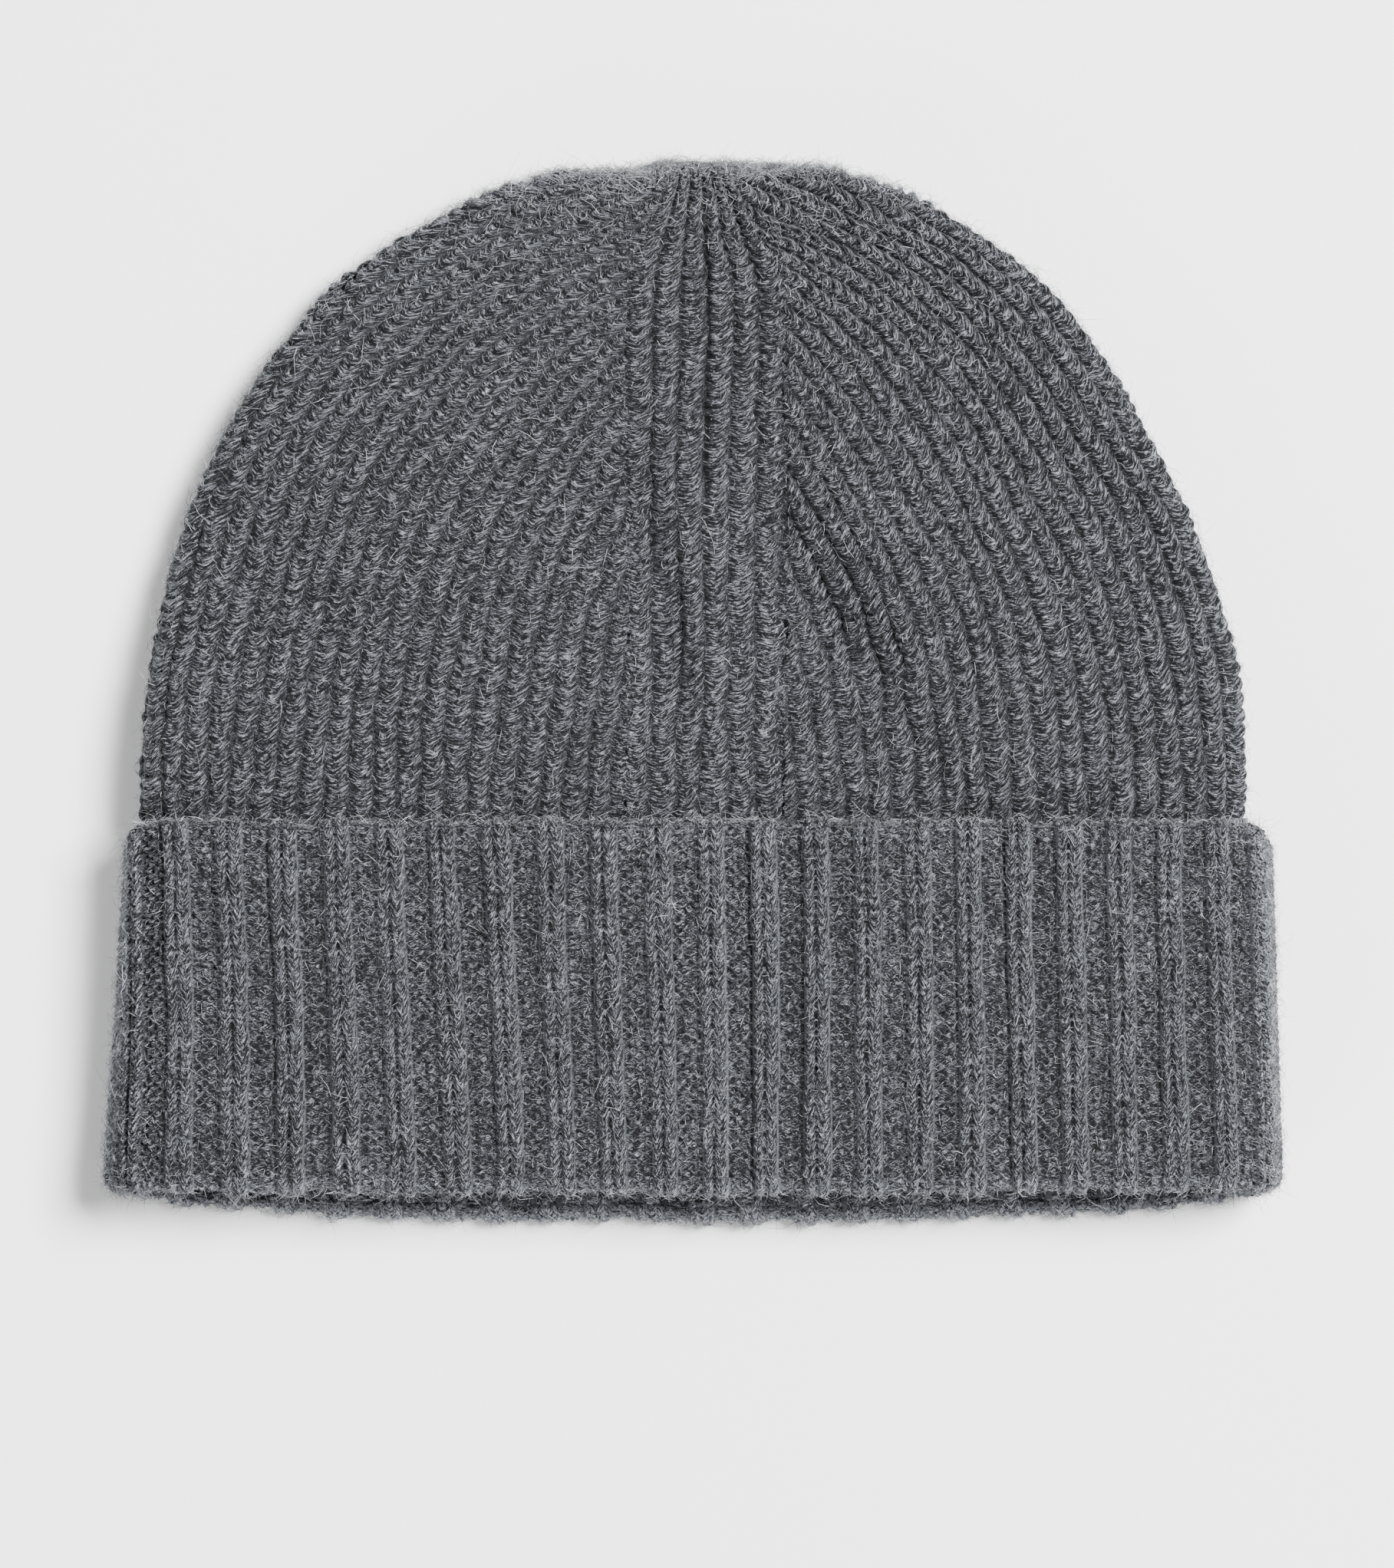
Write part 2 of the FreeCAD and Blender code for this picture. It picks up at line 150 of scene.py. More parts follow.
def soft_noise(x, y, cell, seed):
    """Smooth noise from about -1 to 1: random knots one cell apart, blended by 3t^2 - 2t^3."""
    knots = np.random.default_rng(seed).uniform(-1, 1, (NET, NET))
    gx = np.asarray(x) / cell
    gy = np.asarray(y) / cell
    ix = np.floor(gx).astype(int)
    iy = np.floor(gy).astype(int)
    tx = gx - ix
    ty = gy - iy
    tx = tx * tx * (3 - 2 * tx)
    ty = ty * ty * (3 - 2 * ty)
    low = knots[iy % NET, ix % NET] * (1 - tx) + knots[iy % NET, (ix + 1) % NET] * tx
    high = knots[(iy + 1) % NET, ix % NET] * (1 - tx) + knots[(iy + 1) % NET, (ix + 1) % NET] * tx
    return low * (1 - ty) + high * ty


def smooth_step(low, high, value):
    """0 below low, 1 above high, and a smooth S between them."""
    t = np.clip((value - low) / (high - low), 0, 1)
    return t * t * (3 - 2 * t)


def bump_at(value, centre, width):
    """A bell-shaped bump of height 1."""
    return np.exp(-(((value - centre) / width) ** 2))


def hump(share, square, soft):
    """A rounded hump over a share from 0 to 1: (1 - |2 share - 1|^square)^soft."""
    return np.clip(1 - np.abs(2 * share - 1) ** square, 0, 1) ** soft


def scatter(*numbers):
    """A repeatable pseudo-random number from 0 to 1 for whole-number arrays."""
    mixed = sum(n * k for n, k in zip(numbers, (12.9898, 78.233, 37.719)))
    value = np.sin(mixed) * 43758.5453
    return value - np.floor(value)


# %% [markdown]
# ## From arrays to closed pieces
#
# A piece of knitting has a fine face that is seen and a plain back that isn't. Giving both
# the same fine grid would double the model for nothing. So the back is a coarse grid, one
# quad for each block of fine ones, and a ladder of many-sided faces along the four borders
# joins the two. The result is closed and its faces point outwards.

# %% Quilted patch: fine face, coarse back
SKIP = 8
DEEPEST = -1.9
HIGHEST = 0.3
fuzz_ground = {}


def outward(points, away_from):
    """Unit normals of a grid of points, turned so that they point away from a middle surface."""
    across = np.gradient(points, axis=1)
    along = np.gradient(points, axis=0)
    normal = np.cross(across, along)
    normal /= np.maximum(np.linalg.norm(normal, axis=2, keepdims=True), TINY)
    turn = np.sign(np.sum(normal * (points - away_from)))
    return normal * turn, turn > 0


def steps(length, step):
    """How many grid points cover a length, as a whole number of coarse blocks plus one."""
    return int(np.ceil(length / step / SKIP)) * SKIP + 1


def quads(rows, columns, first):
    """Corner numbers of the quads of a grid whose points are numbered row by row."""
    corner = (np.arange(rows - 1)[:, None] * columns + np.arange(columns - 1)[None, :]).ravel()
    corner = corner + first
    return np.stack([corner, corner + 1, corner + columns + 1, corner + columns], axis=1)


def ladder(fine, coarse):
    """Faces between a fine border and a coarse one, each with SKIP + 3 corners."""
    block = np.arange(len(coarse) - 1)[:, None]
    bottom = fine[block * SKIP + np.arange(SKIP + 1)[None, :]]
    return np.concatenate([bottom[:, ::-1], coarse[block], coarse[block + 1]], axis=1)


def link_mesh(name, points, face_groups, strand=None, level=None):
    """A mesh object from points in mm and groups of faces, each group with one corner count."""
    mesh = bpy.data.meshes.new(name)
    mesh.vertices.add(len(points))
    mesh.vertices.foreach_set("co", (points * MM).astype(np.float32).ravel())
    loops = np.concatenate([group.ravel() for group in face_groups]).astype(np.int32)
    sizes = np.concatenate([np.full(len(g), g.shape[1], np.int32) for g in face_groups])
    mesh.loops.add(len(loops))
    mesh.loops.foreach_set("vertex_index", loops)
    mesh.polygons.add(len(sizes))
    mesh.polygons.foreach_set("loop_start", np.concatenate([[0], np.cumsum(sizes)[:-1]]))
    mesh.polygons.foreach_set("use_smooth", np.ones(len(sizes), bool))
    if strand is not None:
        attribute = mesh.attributes.new("strand", "FLOAT_VECTOR", "POINT")
        attribute.data.foreach_set("vector", strand.astype(np.float32).ravel())
    if level is not None:
        attribute = mesh.attributes.new("level", "FLOAT", "POINT")
        attribute.data.foreach_set("value", level.astype(np.float32).ravel())
    mesh.update(calc_edges=True)
    piece = bpy.data.objects.new(name, mesh)
    bpy.context.scene.collection.objects.link(piece)
    print(f"{name}: {len(points)} points, {len(sizes)} faces")
    return piece


def knitted_patch(name, base, middle, relief, strand, thickness, floor=None, painted_light=0.0):
    """The face is base + normal * relief, and the back is base - normal * thickness.

    Neither goes below the floor. The level, from the relief, becomes the wool's tone: painted shade in the
    grooves and painted light on the tops. The last argument adds more painted light to the level.
    """
    rows, columns = relief.shape
    normal, upright = outward(base, middle)
    face = base + normal * relief[..., None]
    depth = np.broadcast_to(thickness, relief.shape)[..., None]
    back = (base - normal * depth)[::SKIP, ::SKIP]
    if floor is not None:
        face[..., 2] = np.maximum(face[..., 2], floor)
        back[..., 2] = np.maximum(back[..., 2], floor + depth[::SKIP, ::SKIP, 0] / 2)
    coarse_rows, coarse_columns = back.shape[:2]
    front = np.arange(rows * columns).reshape(rows, columns)
    rear = np.arange(coarse_rows * coarse_columns).reshape(coarse_rows, coarse_columns)
    rear = rear + front.size
    groups = [
        quads(rows, columns, 0),
        quads(coarse_rows, coarse_columns, front.size)[:, ::-1],
        ladder(front[0], rear[0]),
        ladder(front[-1][::-1], rear[-1][::-1]),
        ladder(front[:, 0][::-1], rear[:, 0][::-1]),
        ladder(front[:, -1], rear[:, -1]),
    ]
    if not upright:
        groups = [group[:, ::-1] for group in groups]
    points = np.concatenate([face.reshape(-1, 3), back.reshape(-1, 3)])
    strands = np.concatenate([strand.reshape(-1, 3), strand[::SKIP, ::SKIP].reshape(-1, 3)])
    # The level paints shade in the grooves and light on the tops; the extra painted light is added to it.
    level = np.clip((relief - DEEPEST) / (HIGHEST - DEEPEST), 0, 1) + painted_light
    levels = np.concatenate([level.ravel(), level[::SKIP, ::SKIP].ravel()])
    piece = link_mesh(name, points, groups, strands, levels)
    fuzz_ground[name] = (face, normal)
    return piece


# %% [markdown]
# ## The hood's shape
#
# Seen from above the hood is nearly half of an ellipse, a little fuller in the shoulders,
# so its outline is a superellipse. Its cross-section is a flat top that bends round at the
# sides in a quarter of an ellipse. Rows are spaced like lines of latitude on a globe. They
# crowd together near the tip, where the outline runs across them, so the outline stays
# evenly sampled.

# %% Outline and cross-section of the hood
HOOD_HALF_LEFT = 109.5
HOOD_HALF_RIGHT = 107.8
FULLNESS = 2.25
HOOD_RISE = TIP - CUFF_TOP
TUCK = 5.0
FLANK_DIP = 3.0
SIDE_BEND = 8.0
HOOD_DEEP = 7.7
TIP_DEEP = 5.8
STEEPEST = 1.7
FLANK_MIDDLE = 52
FLANK_REACH = 28
LEVEL_COUNT = 1500
SHORT_OF_TIP = 0.02
BACK_RISE = 4.4
BACK_RUN = 60
BACK_REST = 0.9
LAST_LATITUDE = 88.0
EDGE_DRAWN = 0.6
EDGE_WANDER = 0.7
EDGE_STEP = 0.4
GATHER_DIP = 0.8
SETTLED = 0.6
CROWN_DROP = 0.9
CROWN_HALF = 8
# The slack's hills: height, width and seed.
HILLS = ((0.9, 38, 3), (0.5, 17, 4))
# Dips and shoulders of the outline beside the tip: size, X and half width.
TIP_DIPS = ((1.0, -14, 5.5), (0.2, 14, 5.5))
TIP_SHOULDERS = ((0.4, -26, 12), (1.1, 27, 12))
# Each fold: its upper and lower ends, half width, height of the ridge, depth of the hollow.
FOLDS = (
    ((17, 43), (34, 8), 8.8, 5.0, 1.9),
    ((33, 14), (52, -22), 6.0, 1.6, 0.6),
    ((-8, 42), (-1, -2), 3.6, 3.0, 1.3),
)


def hood_half(y, side):
    """Half width at a height y: a superellipse, slightly flatter on the right flank."""
    share = np.clip((y - CUFF_TOP) / HOOD_RISE, 0, 1)
    half = HOOD_HALF_LEFT if side < 0 else HOOD_HALF_RIGHT
    reach = half * (1 - share**FULLNESS) ** (1 / FULLNESS)
    if side > 0:
        reach = reach - FLANK_DIP * bump_at(y, FLANK_MIDDLE, FLANK_REACH) * smooth_step(0, 60, reach)
    return reach


LEVELS = np.linspace(CUFF_TOP - TUCK, TIP - SHORT_OF_TIP, LEVEL_COUNT)


def lean_table(side):
    """Reach, secant and lean of the line that the ribs follow, for a table of heights."""
    half = hood_half(LEVELS, side)
    slope = np.minimum(-np.gradient(half, LEVELS), STEEPEST)
    step = LEVELS[1] - LEVELS[0]
    reach = half[0] - np.concatenate([[0], np.cumsum((slope[1:] + slope[:-1]) / 2 * step)])
    return reach, np.hypot(1, slope), np.arctan(slope)


LEAN = {side: lean_table(side) for side in (-1, 1)}


def secant(y, side):
    """How much longer a step along the ribs is than its rise."""
    return np.interp(y, LEVELS, LEAN[side][1])


def rib_reach(y, side):
    """Where the outermost rib lies: on the outline, until the outline gets too steep for it."""
    return np.interp(y, LEVELS, LEAN[side][0])


def hood_middle(y):
    """Height of the surface half way through the hood: it sinks from the cuff to the table."""
    back = BACK_RISE * (1 - smooth_step(CUFF_TOP, CUFF_TOP + BACK_RUN, y)) + BACK_REST
    return back + hood_depth(y)


def hood_depth(y):
    """Half the hood's thickness at its middle, rounded off at the tip."""
    share = (y - CUFF_TOP) / HOOD_RISE
    deep = HOOD_DEEP + (TIP_DEEP - HOOD_DEEP) * np.clip(share, 0, 1)
    nose = np.clip((y - (TIP - SIDE_BEND)) / SIDE_BEND, 0, ALMOST_ONE)
    return deep * np.sqrt(1 - nose**2)


def column_edge(y, side):
    """The centre column's edge: straight, but drawn together at the very tip.

    It wanders by up to 0.7 mm, and steps in and out by 0.4 mm with each row of stitches.
    """
    edge = column_high[0] if side > 0 else -column_low[0]
    drawn = 1 - EDGE_DRAWN * smooth_step(78, TIP, y)
    wander = EDGE_WANDER * soft_noise(y, 0 * y, 11, 7 + side)
    wander = wander + EDGE_STEP * np.sin(2 * np.pi * y / ROW)
    wander = wander * smooth_step(TIP, 85, y)
    return np.minimum(edge * drawn + wander, 0.55 * hood_half(y, side))


def fold_beside(x, y, top, bottom, width, rise, dip):
    """A fold along the line from top to bottom: a hollow on its left and a ridge on its right.

    It fades in from 0.45 of its length above the top, and out to 0.35 of it below the bottom.
    """
    along = (top[1] - y) / (top[1] - bottom[1])
    distance = x - (top[0] + (bottom[0] - top[0]) * along)
    ends = smooth_step(-0.45, 0.5, along) * smooth_step(1.35, 0.7, along)
    ridge = smooth_step(-width, width, distance) * np.exp(-((np.maximum(distance, 0) / (5 * width)) ** 2))
    return ends * (rise * ridge - dip * bump_at(distance, -width, 1.6 * width))


def drape(x, y):
    """Slack in the front layer, in mm: soft hills, and three folds beside the column's middle."""
    slack = sum(height * soft_noise(x, y, width, seed) for height, width, seed in HILLS)
    for fold in FOLDS:
        slack = slack + fold_beside(x, y, *fold)
    gather = bump_at(x, 2, 22) * smooth_step(60, 100, y)
    return slack - GATHER_DIP * gather - SETTLED


def tip_pinch(x, y):
    """How far the outline is drawn down beside the tip, in mm.

    The crown rounds off by 0.9 mm within 8 mm of the tip, a dip lies on each side of it, and
    beyond the dips two low shoulders stand up.
    """
    near_tip = smooth_step(62, TIP, y)
    crown = CROWN_DROP * smooth_step(TIP - 4, TIP, y) * np.clip(np.abs(x + 1) / CROWN_HALF, 0, 1) ** 2
    dips = sum(depth * bump_at(x, at, half) for depth, at, half in TIP_DIPS)
    shoulders = sum(height * bump_at(x, at, half) for height, at, half in TIP_SHOULDERS)
    return crown + near_tip * (dips - shoulders)


def hood_point(x, y, lift, face):
    """A point of the hood: face is 1 for the front and -1 for the back."""
    height = hood_middle(y) + face * hood_depth(y) * lift
    if face > 0:
        height = height + drape(x, y) * lift
    return np.stack([x, y - tip_pinch(x, y), height], axis=-1)


def hood_rows(count):
    """Heights spaced like latitudes from under the cuff to the tip."""
    start = np.arcsin(-TUCK / HOOD_RISE)
    return CUFF_TOP + HOOD_RISE * np.sin(np.linspace(start, np.radians(LAST_LATITUDE), count))


def flank_grid(rows, columns, side, face):
    """The side panel's half on one face: flat from the column's edge, then bent to the fold."""
    y = hood_rows(rows)[:, None]
    e = np.linspace(0, 1, columns)[None, :]
    edge = column_edge(y, side)
    room = hood_half(y, side) - edge
    bend = np.minimum(SIDE_BEND * secant(y, side), 0.9 * room)
    flat = room - bend
    arc = 0.5 * np.pi * (bend + hood_depth(y)) / 2
    share = flat / (flat + arc)
    turn = np.clip((e - share) / (1 - share), 0, 1) * np.pi / 2
    x = edge + flat * np.clip(e / share, 0, 1) + bend * np.sin(turn)
    return side * x, y + 0 * x, hood_point(side * x, y + 0 * x, np.cos(turn), face)


for side in (-1, 1):
    print("half width at the cuff", hood_half(CUFF_TOP, side), "on side", side)

# %% [markdown]
# ## Where the ribs and rows run
#
# A side panel's ribs follow the outline, one beside the other, and end where they meet the
# column. Its rows of stitches cross the ribs. No field of rows can be exactly square to
# such ribs and evenly spaced at once, and cloth has the same trouble: it gives a little
# everywhere. So the rows come from a small least-squares problem: on a coarse grid, find
# the row number whose slope is as near as possible to the ribs' own direction. The
# conjugate gradient method solves it in a few hundred cheap steps.

# %% Rib numbers and row numbers of the hood
RIB = 4.65
ROW = 2.5
CELL = 1.5
SOLVER_STEPS = 600
LEAN_STRETCH = 0.12
OUTSIDE_WEIGHT = 0.001


def flank_rib(x, y, side):
    """Rib number in a side panel, counted inwards from the outline."""
    sec = secant(y, side)
    inset = rib_reach(y, side) - side * x
    return inset / (RIB * (1 + 0.6 * (sec - 1)))


def solve_rows(side):
    """Row numbers on a coarse grid over one side panel, by conjugate gradients."""
    xs = np.arange(0, HOOD_HALF_LEFT + 2 * CELL, CELL)
    ys = np.arange(CUFF_TOP - TUCK, TIP + 2 * CELL, CELL)
    lean = np.interp(ys, LEVELS, LEAN[side][2])[:, None] + 0 * xs[None, :]
    inside = (xs[None, :] < hood_half(ys, side)[:, None] + 2 * CELL) + OUTSIDE_WEIGHT
    spacing = ROW * (1 + LEAN_STRETCH * np.sin(lean))
    want_x = -np.sin(lean) / spacing
    want_y = np.cos(lean) / spacing
    weight_x = inside[:, 1:] * inside[:, :-1]
    weight_y = inside[1:] * inside[:-1]
    goal_x = (want_x[:, 1:] + want_x[:, :-1]) / 2 * CELL
    goal_y = (want_y[1:] + want_y[:-1]) / 2 * CELL

    def spread_back(flow_x, flow_y):
        """What flows into each point less what flows out."""
        total = np.zeros_like(lean)
        total[:, 1:] += flow_x
        total[:, :-1] -= flow_x
        total[1:] += flow_y
        total[:-1] -= flow_y
        return total

    def stiffness(c):
        """The normal equations' matrix times a grid of numbers."""
        return spread_back(weight_x * (c[:, 1:] - c[:, :-1]), weight_y * (c[1:] - c[:-1]))

    row = (ys[:, None] - CUFF_TOP) / ROW + 0 * lean
    residual = spread_back(weight_x * goal_x, weight_y * goal_y) - stiffness(row)
    push = residual.copy()
    size = np.sum(residual * residual)
    for _ in range(SOLVER_STEPS):
        pulled = stiffness(push)
        step = size / np.sum(push * pulled)
        row += step * push
        residual -= step * pulled
        smaller = np.sum(residual * residual)
        push = residual + smaller / size * push
        size = smaller
    print("rows solved on side", side, "left over", float(np.sqrt(size)))
    return xs, ys, row - row[0, 0]


ROWS = {side: solve_rows(side) for side in (-1, 1)}


def flank_row(x, y, side):
    """Row number at any point of a side panel: the coarse solution, blended linearly."""
    xs, ys, row = ROWS[side]
    gx = np.clip(np.abs(x) / CELL, 0, len(xs) - 1.001)
    gy = np.clip((y - ys[0]) / CELL, 0, len(ys) - 1.001)
    ix = gx.astype(int)
    iy = gy.astype(int)
    tx = gx - ix
    ty = gy - iy
    low = row[iy, ix] * (1 - tx) + row[iy, ix + 1] * tx
    high = row[iy + 1, ix] * (1 - tx) + row[iy + 1, ix + 1] * tx
    return low * (1 - ty) + high * ty


# %% [markdown]
# ## The hood's stitch
#
# Across one rib the surface is a plump ridge with a narrow dark groove on each side. Along
# it, every stitch is a hanging arc: the strand comes out of the left groove, sags, and
# climbs steeply into the right groove. The row number is shifted by the height of the arc,
# so that lines of equal phase are such arcs, and each strand is a round bump in the shifted
# phase. The phase also tells the material which way the wool fibres lie.

# %% Relief of the hood's plump rib
RIDGE = 1.45
STRAND = 1.1
VALLEY = 0.42
LEFT_RISE = 0.28
RIGHT_RISE = 0.95
RIGHT_ARM = 0.76
ACROSS_SHARE = 0.8
SEAM_DIP = 0.8
DART_DEPTH = 0.8
DART_HALF = 0.8
COLUMN_RIBS = 6


def stacked(*numbers):
    """Strand coordinates: mm across the strand, mm along it, and the strand's own seed."""
    return np.stack(np.broadcast_arrays(*numbers), axis=-1)


def plump_rib(rib, row, x, y):
    """Relief in mm and strand coordinates of the hood's rib at given rib and row numbers.

    Ribs and rows first wander by up to a third and a fifth of their pitch. Then the relief is
    the ridge's arch plus the strands' humps, each with its own strength, and plus a lump where
    the strand climbs on the right.
    """
    rib = rib + 0.12 * soft_noise(x, y, 5, 11) + 0.2 * soft_noise(x, y, 27, 13)
    row = row + 0.22 * soft_noise(x, y, 6, 12)
    wale = np.floor(rib)
    across = rib - wale
    ridge = hump(across, 2.4, 0.62)
    left = np.clip(1 - across / VALLEY, 0, 1)
    right = np.clip((across - VALLEY) / (1 - VALLEY), 0, 1)
    phase = row - LEFT_RISE * left**1.5 - RIGHT_RISE * right**1.7 + 0.15 * scatter(wale, 5.0)
    stitch = np.floor(phase)
    bump = hump(phase - stitch, 2.0, 0.65)
    own = 0.55 + 0.9 * scatter(wale, stitch)
    relief = RIDGE * (ridge - 1) + STRAND * own * (bump - 0.75) * (0.3 + 0.7 * ridge)
    relief = relief + 0.45 * bump * bump_at(across, RIGHT_ARM, 0.12) - 0.15
    seed = wale * 3.7 + stitch * 0.31
    return relief, stacked(phase * ROW * ACROSS_SHARE, across * RIB, seed)


# %% [markdown]
# ## The hood's pieces
#
# Each side panel is made in two halves, which meet along the side fold, and the column in
# one piece at the front and two at the back, on either side of the seam. The front is what
# is looked at, so its grid is finer than the back's.

# %% Knit the hood
FINE = 0.475
PLAIN = 0.78
FABRIC = 2.6
TIP_FABRIC = 0.15
TIP_RELIEF = 0.15
PRESSED_IN = 0.6
ON_TABLE = 0.02
INWARD = 0.9
SIDES = {"left": -1, "right": 1}
pieces = {}


def add(piece, node, slot):
    """Notes a finished piece, the frame's node that it stands for, and its material slot."""
    pieces[piece.name] = (piece, [node] if node else [], slot)


def seam_dip(y):
    """Depth of the line where a side panel's ribs meet the column, shallower near the cuff."""
    return SEAM_DIP * (0.4 + 0.6 * smooth_step(0, 50, y))


def hood_fabric(y, side):
    """Thickness of the hood's fabric, drawn thin at the tip."""
    return TIP_FABRIC + FABRIC * smooth_step(2, 30, hood_half(y, side))


def hood_relief(x, y, side, rib, row):
    """The plump rib, lower where the piece is narrow, and pressed in under the cuff's edge."""
    relief, strand = plump_rib(rib, row, x, y)
    narrow = smooth_step(3, 22, hood_half(y, side))
    under = 1 - smooth_step(CUFF_TOP - 1, CUFF_TOP + 5, y)
    return relief * (TIP_RELIEF + (1 - TIP_RELIEF) * narrow) - PRESSED_IN * under, strand


def knit_flank(name, side, face, step):
    """One half of a side panel."""
    rows = steps(np.pi / 2 * HOOD_RISE, step)
    columns = steps(HOOD_HALF_LEFT - column_high[0] + SIDE_BEND, step)
    x, y, base = flank_grid(rows, columns, side, face)
    relief, strand = hood_relief(x, y, side, -side * flank_rib(x, y, side), flank_row(x, y, side))
    beside = smooth_step(-0.2, 0.9, side * x - column_edge(y, side))
    relief = relief * beside - seam_dip(y) * (1 - beside)
    middle = base * 0 + np.array([0, 0, 1.0]) * hood_middle(y)[..., None]
    middle[..., :2] = base[..., :2] * INWARD
    return knitted_patch(name, base, middle, relief, strand, hood_fabric(y, side), ON_TABLE)


dart_low, dart_high = corners("front_dart_seam")
dart_x = (dart_low[0] + dart_high[0]) / 2


def column_rib(x, y):
    """Six ribs from edge to edge of the column, drawn together with it at the tip."""
    left = column_edge(y, -1)
    return COLUMN_RIBS * (x + left) / (left + column_edge(y, 1))


def dart_groove(x, y):
    """Depth of the groove where the dart is closed, in mm."""
    reach = smooth_step(dart_low[1] - 8, dart_low[1] + 45, y)
    return DART_DEPTH * bump_at(x, dart_x, DART_HALF) * reach


def knit_column(name, face, step, part=(0.0, 1.0)):
    """The centre column, or the part of it between two shares of its width."""
    rows = steps(np.pi / 2 * HOOD_RISE, step * 1.25)
    columns = steps((column_high[0] - column_low[0]) * (part[1] - part[0]), step)
    y = hood_rows(rows)[:, None]
    e = np.linspace(part[0], part[1], columns)[None, :]
    x = -column_edge(y, -1) * (1 - e) + column_edge(y, 1) * e
    y = y + 0 * x
    base = hood_point(x, y, 1 + 0 * x, face)
    row = (y - CUFF_TOP) / ROW
    relief, strand = hood_relief(x, y, 1, column_rib(x, y), row)
    relief = relief * (0.8 + 0.35 * smooth_step(10, 70, y))
    beside = smooth_step(-0.2, 0.7, np.minimum(x + column_edge(y, -1), column_edge(y, 1) - x))
    relief = relief * beside - seam_dip(y) * (1 - beside)
    if face > 0:
        relief = relief - dart_groove(x, y)
    middle = base.copy()
    middle[..., 2] = hood_middle(y)
    middle[..., 1] = middle[..., 1] * INWARD
    return knitted_patch(name, base, middle, relief, strand, hood_fabric(y, 1), ON_TABLE)


for word, side in SIDES.items():
    for layer, face, step in (("front", 1, FINE), ("back", -1, PLAIN)):
        panel = knit_flank(f"{word}_side_panel_{layer}", side, face, step)
        add(panel, f"{word}_side_panel", "knit_body")
add(knit_column("front_column_knit", 1, FINE), "front_column", "knit_body")
SEAM_SHARE = -column_low[0] / (column_high[0] - column_low[0])
for word, part in (("left", (0.0, SEAM_SHARE)), ("right", (SEAM_SHARE, 1.0))):
    column = knit_column(f"back_column_{word}_knit", -1, PLAIN, part)
    add(column, f"back_column_{word}", "knit_body")

# %% [markdown]
# ## The cuff's shape
#
# The cuff is one flattened tube of rib that comes down the outside, turns over in a roll
# and goes back up inside. Its cross-section is a stadium: two flats and two half circles.
# A point is found from its place round the stadium and its inset, which is 0 on the
# outside of the turned-up layer and grows inwards. The front's folded edge ends a little
# higher than the back's, so the inside of the back shows below it.

# %% Base surfaces of the cuff
CUFF_HALF_TOP = chain_high[0]
CUFF_HALF_MOUTH = fold_high[0] - 0.4
CUFF_THICK = (band_high[2] - band_low[2]) / 2
CUFF_MIDDLE = (band_high[2] + band_low[2]) / 2
ROLL = 3.5
MOUTH_CORNER = -97.6
MOUTH_FRONT = -98.1
MOUTH_BACK = -104.4
LIP = 1.7
CORNER_SPREAD = 1.5
CORNER_FROM = 0.84
CORNER_DROP = 4.5
WAVE_RUN = 110
MOUTH_WAVE = 0.5
EDGE_WAVE = 0.4
CUFF_SAG = 1.2
CUFF_HILLS = 0.5
NOISE_RUN = 115


def cuff_half(y):
    """Half width of the cuff: a little wider at the folded edge."""
    share = (CUFF_TOP - y) / (CUFF_TOP - MOUTH_BACK)
    return CUFF_HALF_TOP + (CUFF_HALF_MOUTH - CUFF_HALF_TOP) * share


def ring_length(y):
    """Length of half the stadium, from one side fold to the other, divided by two."""
    return cuff_half(y) - CUFF_THICK + CUFF_THICK * np.pi / 2


def ring_point(s, y, inset, face):
    """A point of the stadium at share s from -1 to 1 round one face, moved inwards by inset."""
    run = s * ring_length(y)
    flat = cuff_half(y) - CUFF_THICK
    turn = np.clip((np.abs(run) - flat) / CUFF_THICK, 0, np.pi / 2)
    round_off = CUFF_THICK - inset
    x = np.sign(s) * (np.minimum(np.abs(run), flat) + round_off * np.sin(turn))
    x = x - CORNER_SPREAD * smooth_step(-55, -100, y) * smooth_step(-40, -112, x)
    z = CUFF_MIDDLE + face * round_off * np.cos(turn)
    if face > 0:
        z = z + cuff_drape(x, y) * np.cos(turn)
    return np.stack(np.broadcast_arrays(x, y, z), axis=-1)


def cuff_drape(x, y):
    """Slack in the front of the cuff, in mm."""
    return CUFF_HILLS * soft_noise(x, y, 30, 21) - CUFF_SAG * bump_at(x, 0, 70)


def mouth_y(s, face):
    """Y of the folded edge at share s: level at the corners and lower in the middle."""
    middle = MOUTH_FRONT if face > 0 else MOUTH_BACK
    wave = MOUTH_WAVE * soft_noise(s * WAVE_RUN, 0 * s, 11, 31 + face)
    return MOUTH_CORNER + (middle - MOUTH_CORNER) * (1 - np.abs(s) ** 3) + wave


def edge_y(s):
    """Y of the free edge at share s, rounded down at the two side folds."""
    corner = np.clip((np.abs(s) - CORNER_FROM) / (1 - CORNER_FROM), 0, 1)
    wave = EDGE_WAVE * soft_noise(s * WAVE_RUN, 0 * s, 7, 41)
    return CUFF_TOP - LIP - CORNER_DROP * corner**2.2 + wave


print("half width of the cuff", cuff_half(CUFF_TOP), "to", cuff_half(MOUTH_BACK))

# %% [markdown]
# ## The cuff's stitch
#
# In 2x2 rib two columns of knit stitches stand up and two of purl sink back. The cuff is
# turned up, so its knit stitches are upside down: their strands make a roof. The purl
# stitches show as short, level arcs in the hollow. The ribs are not all alike: they stand
# further apart on one side and lean there.

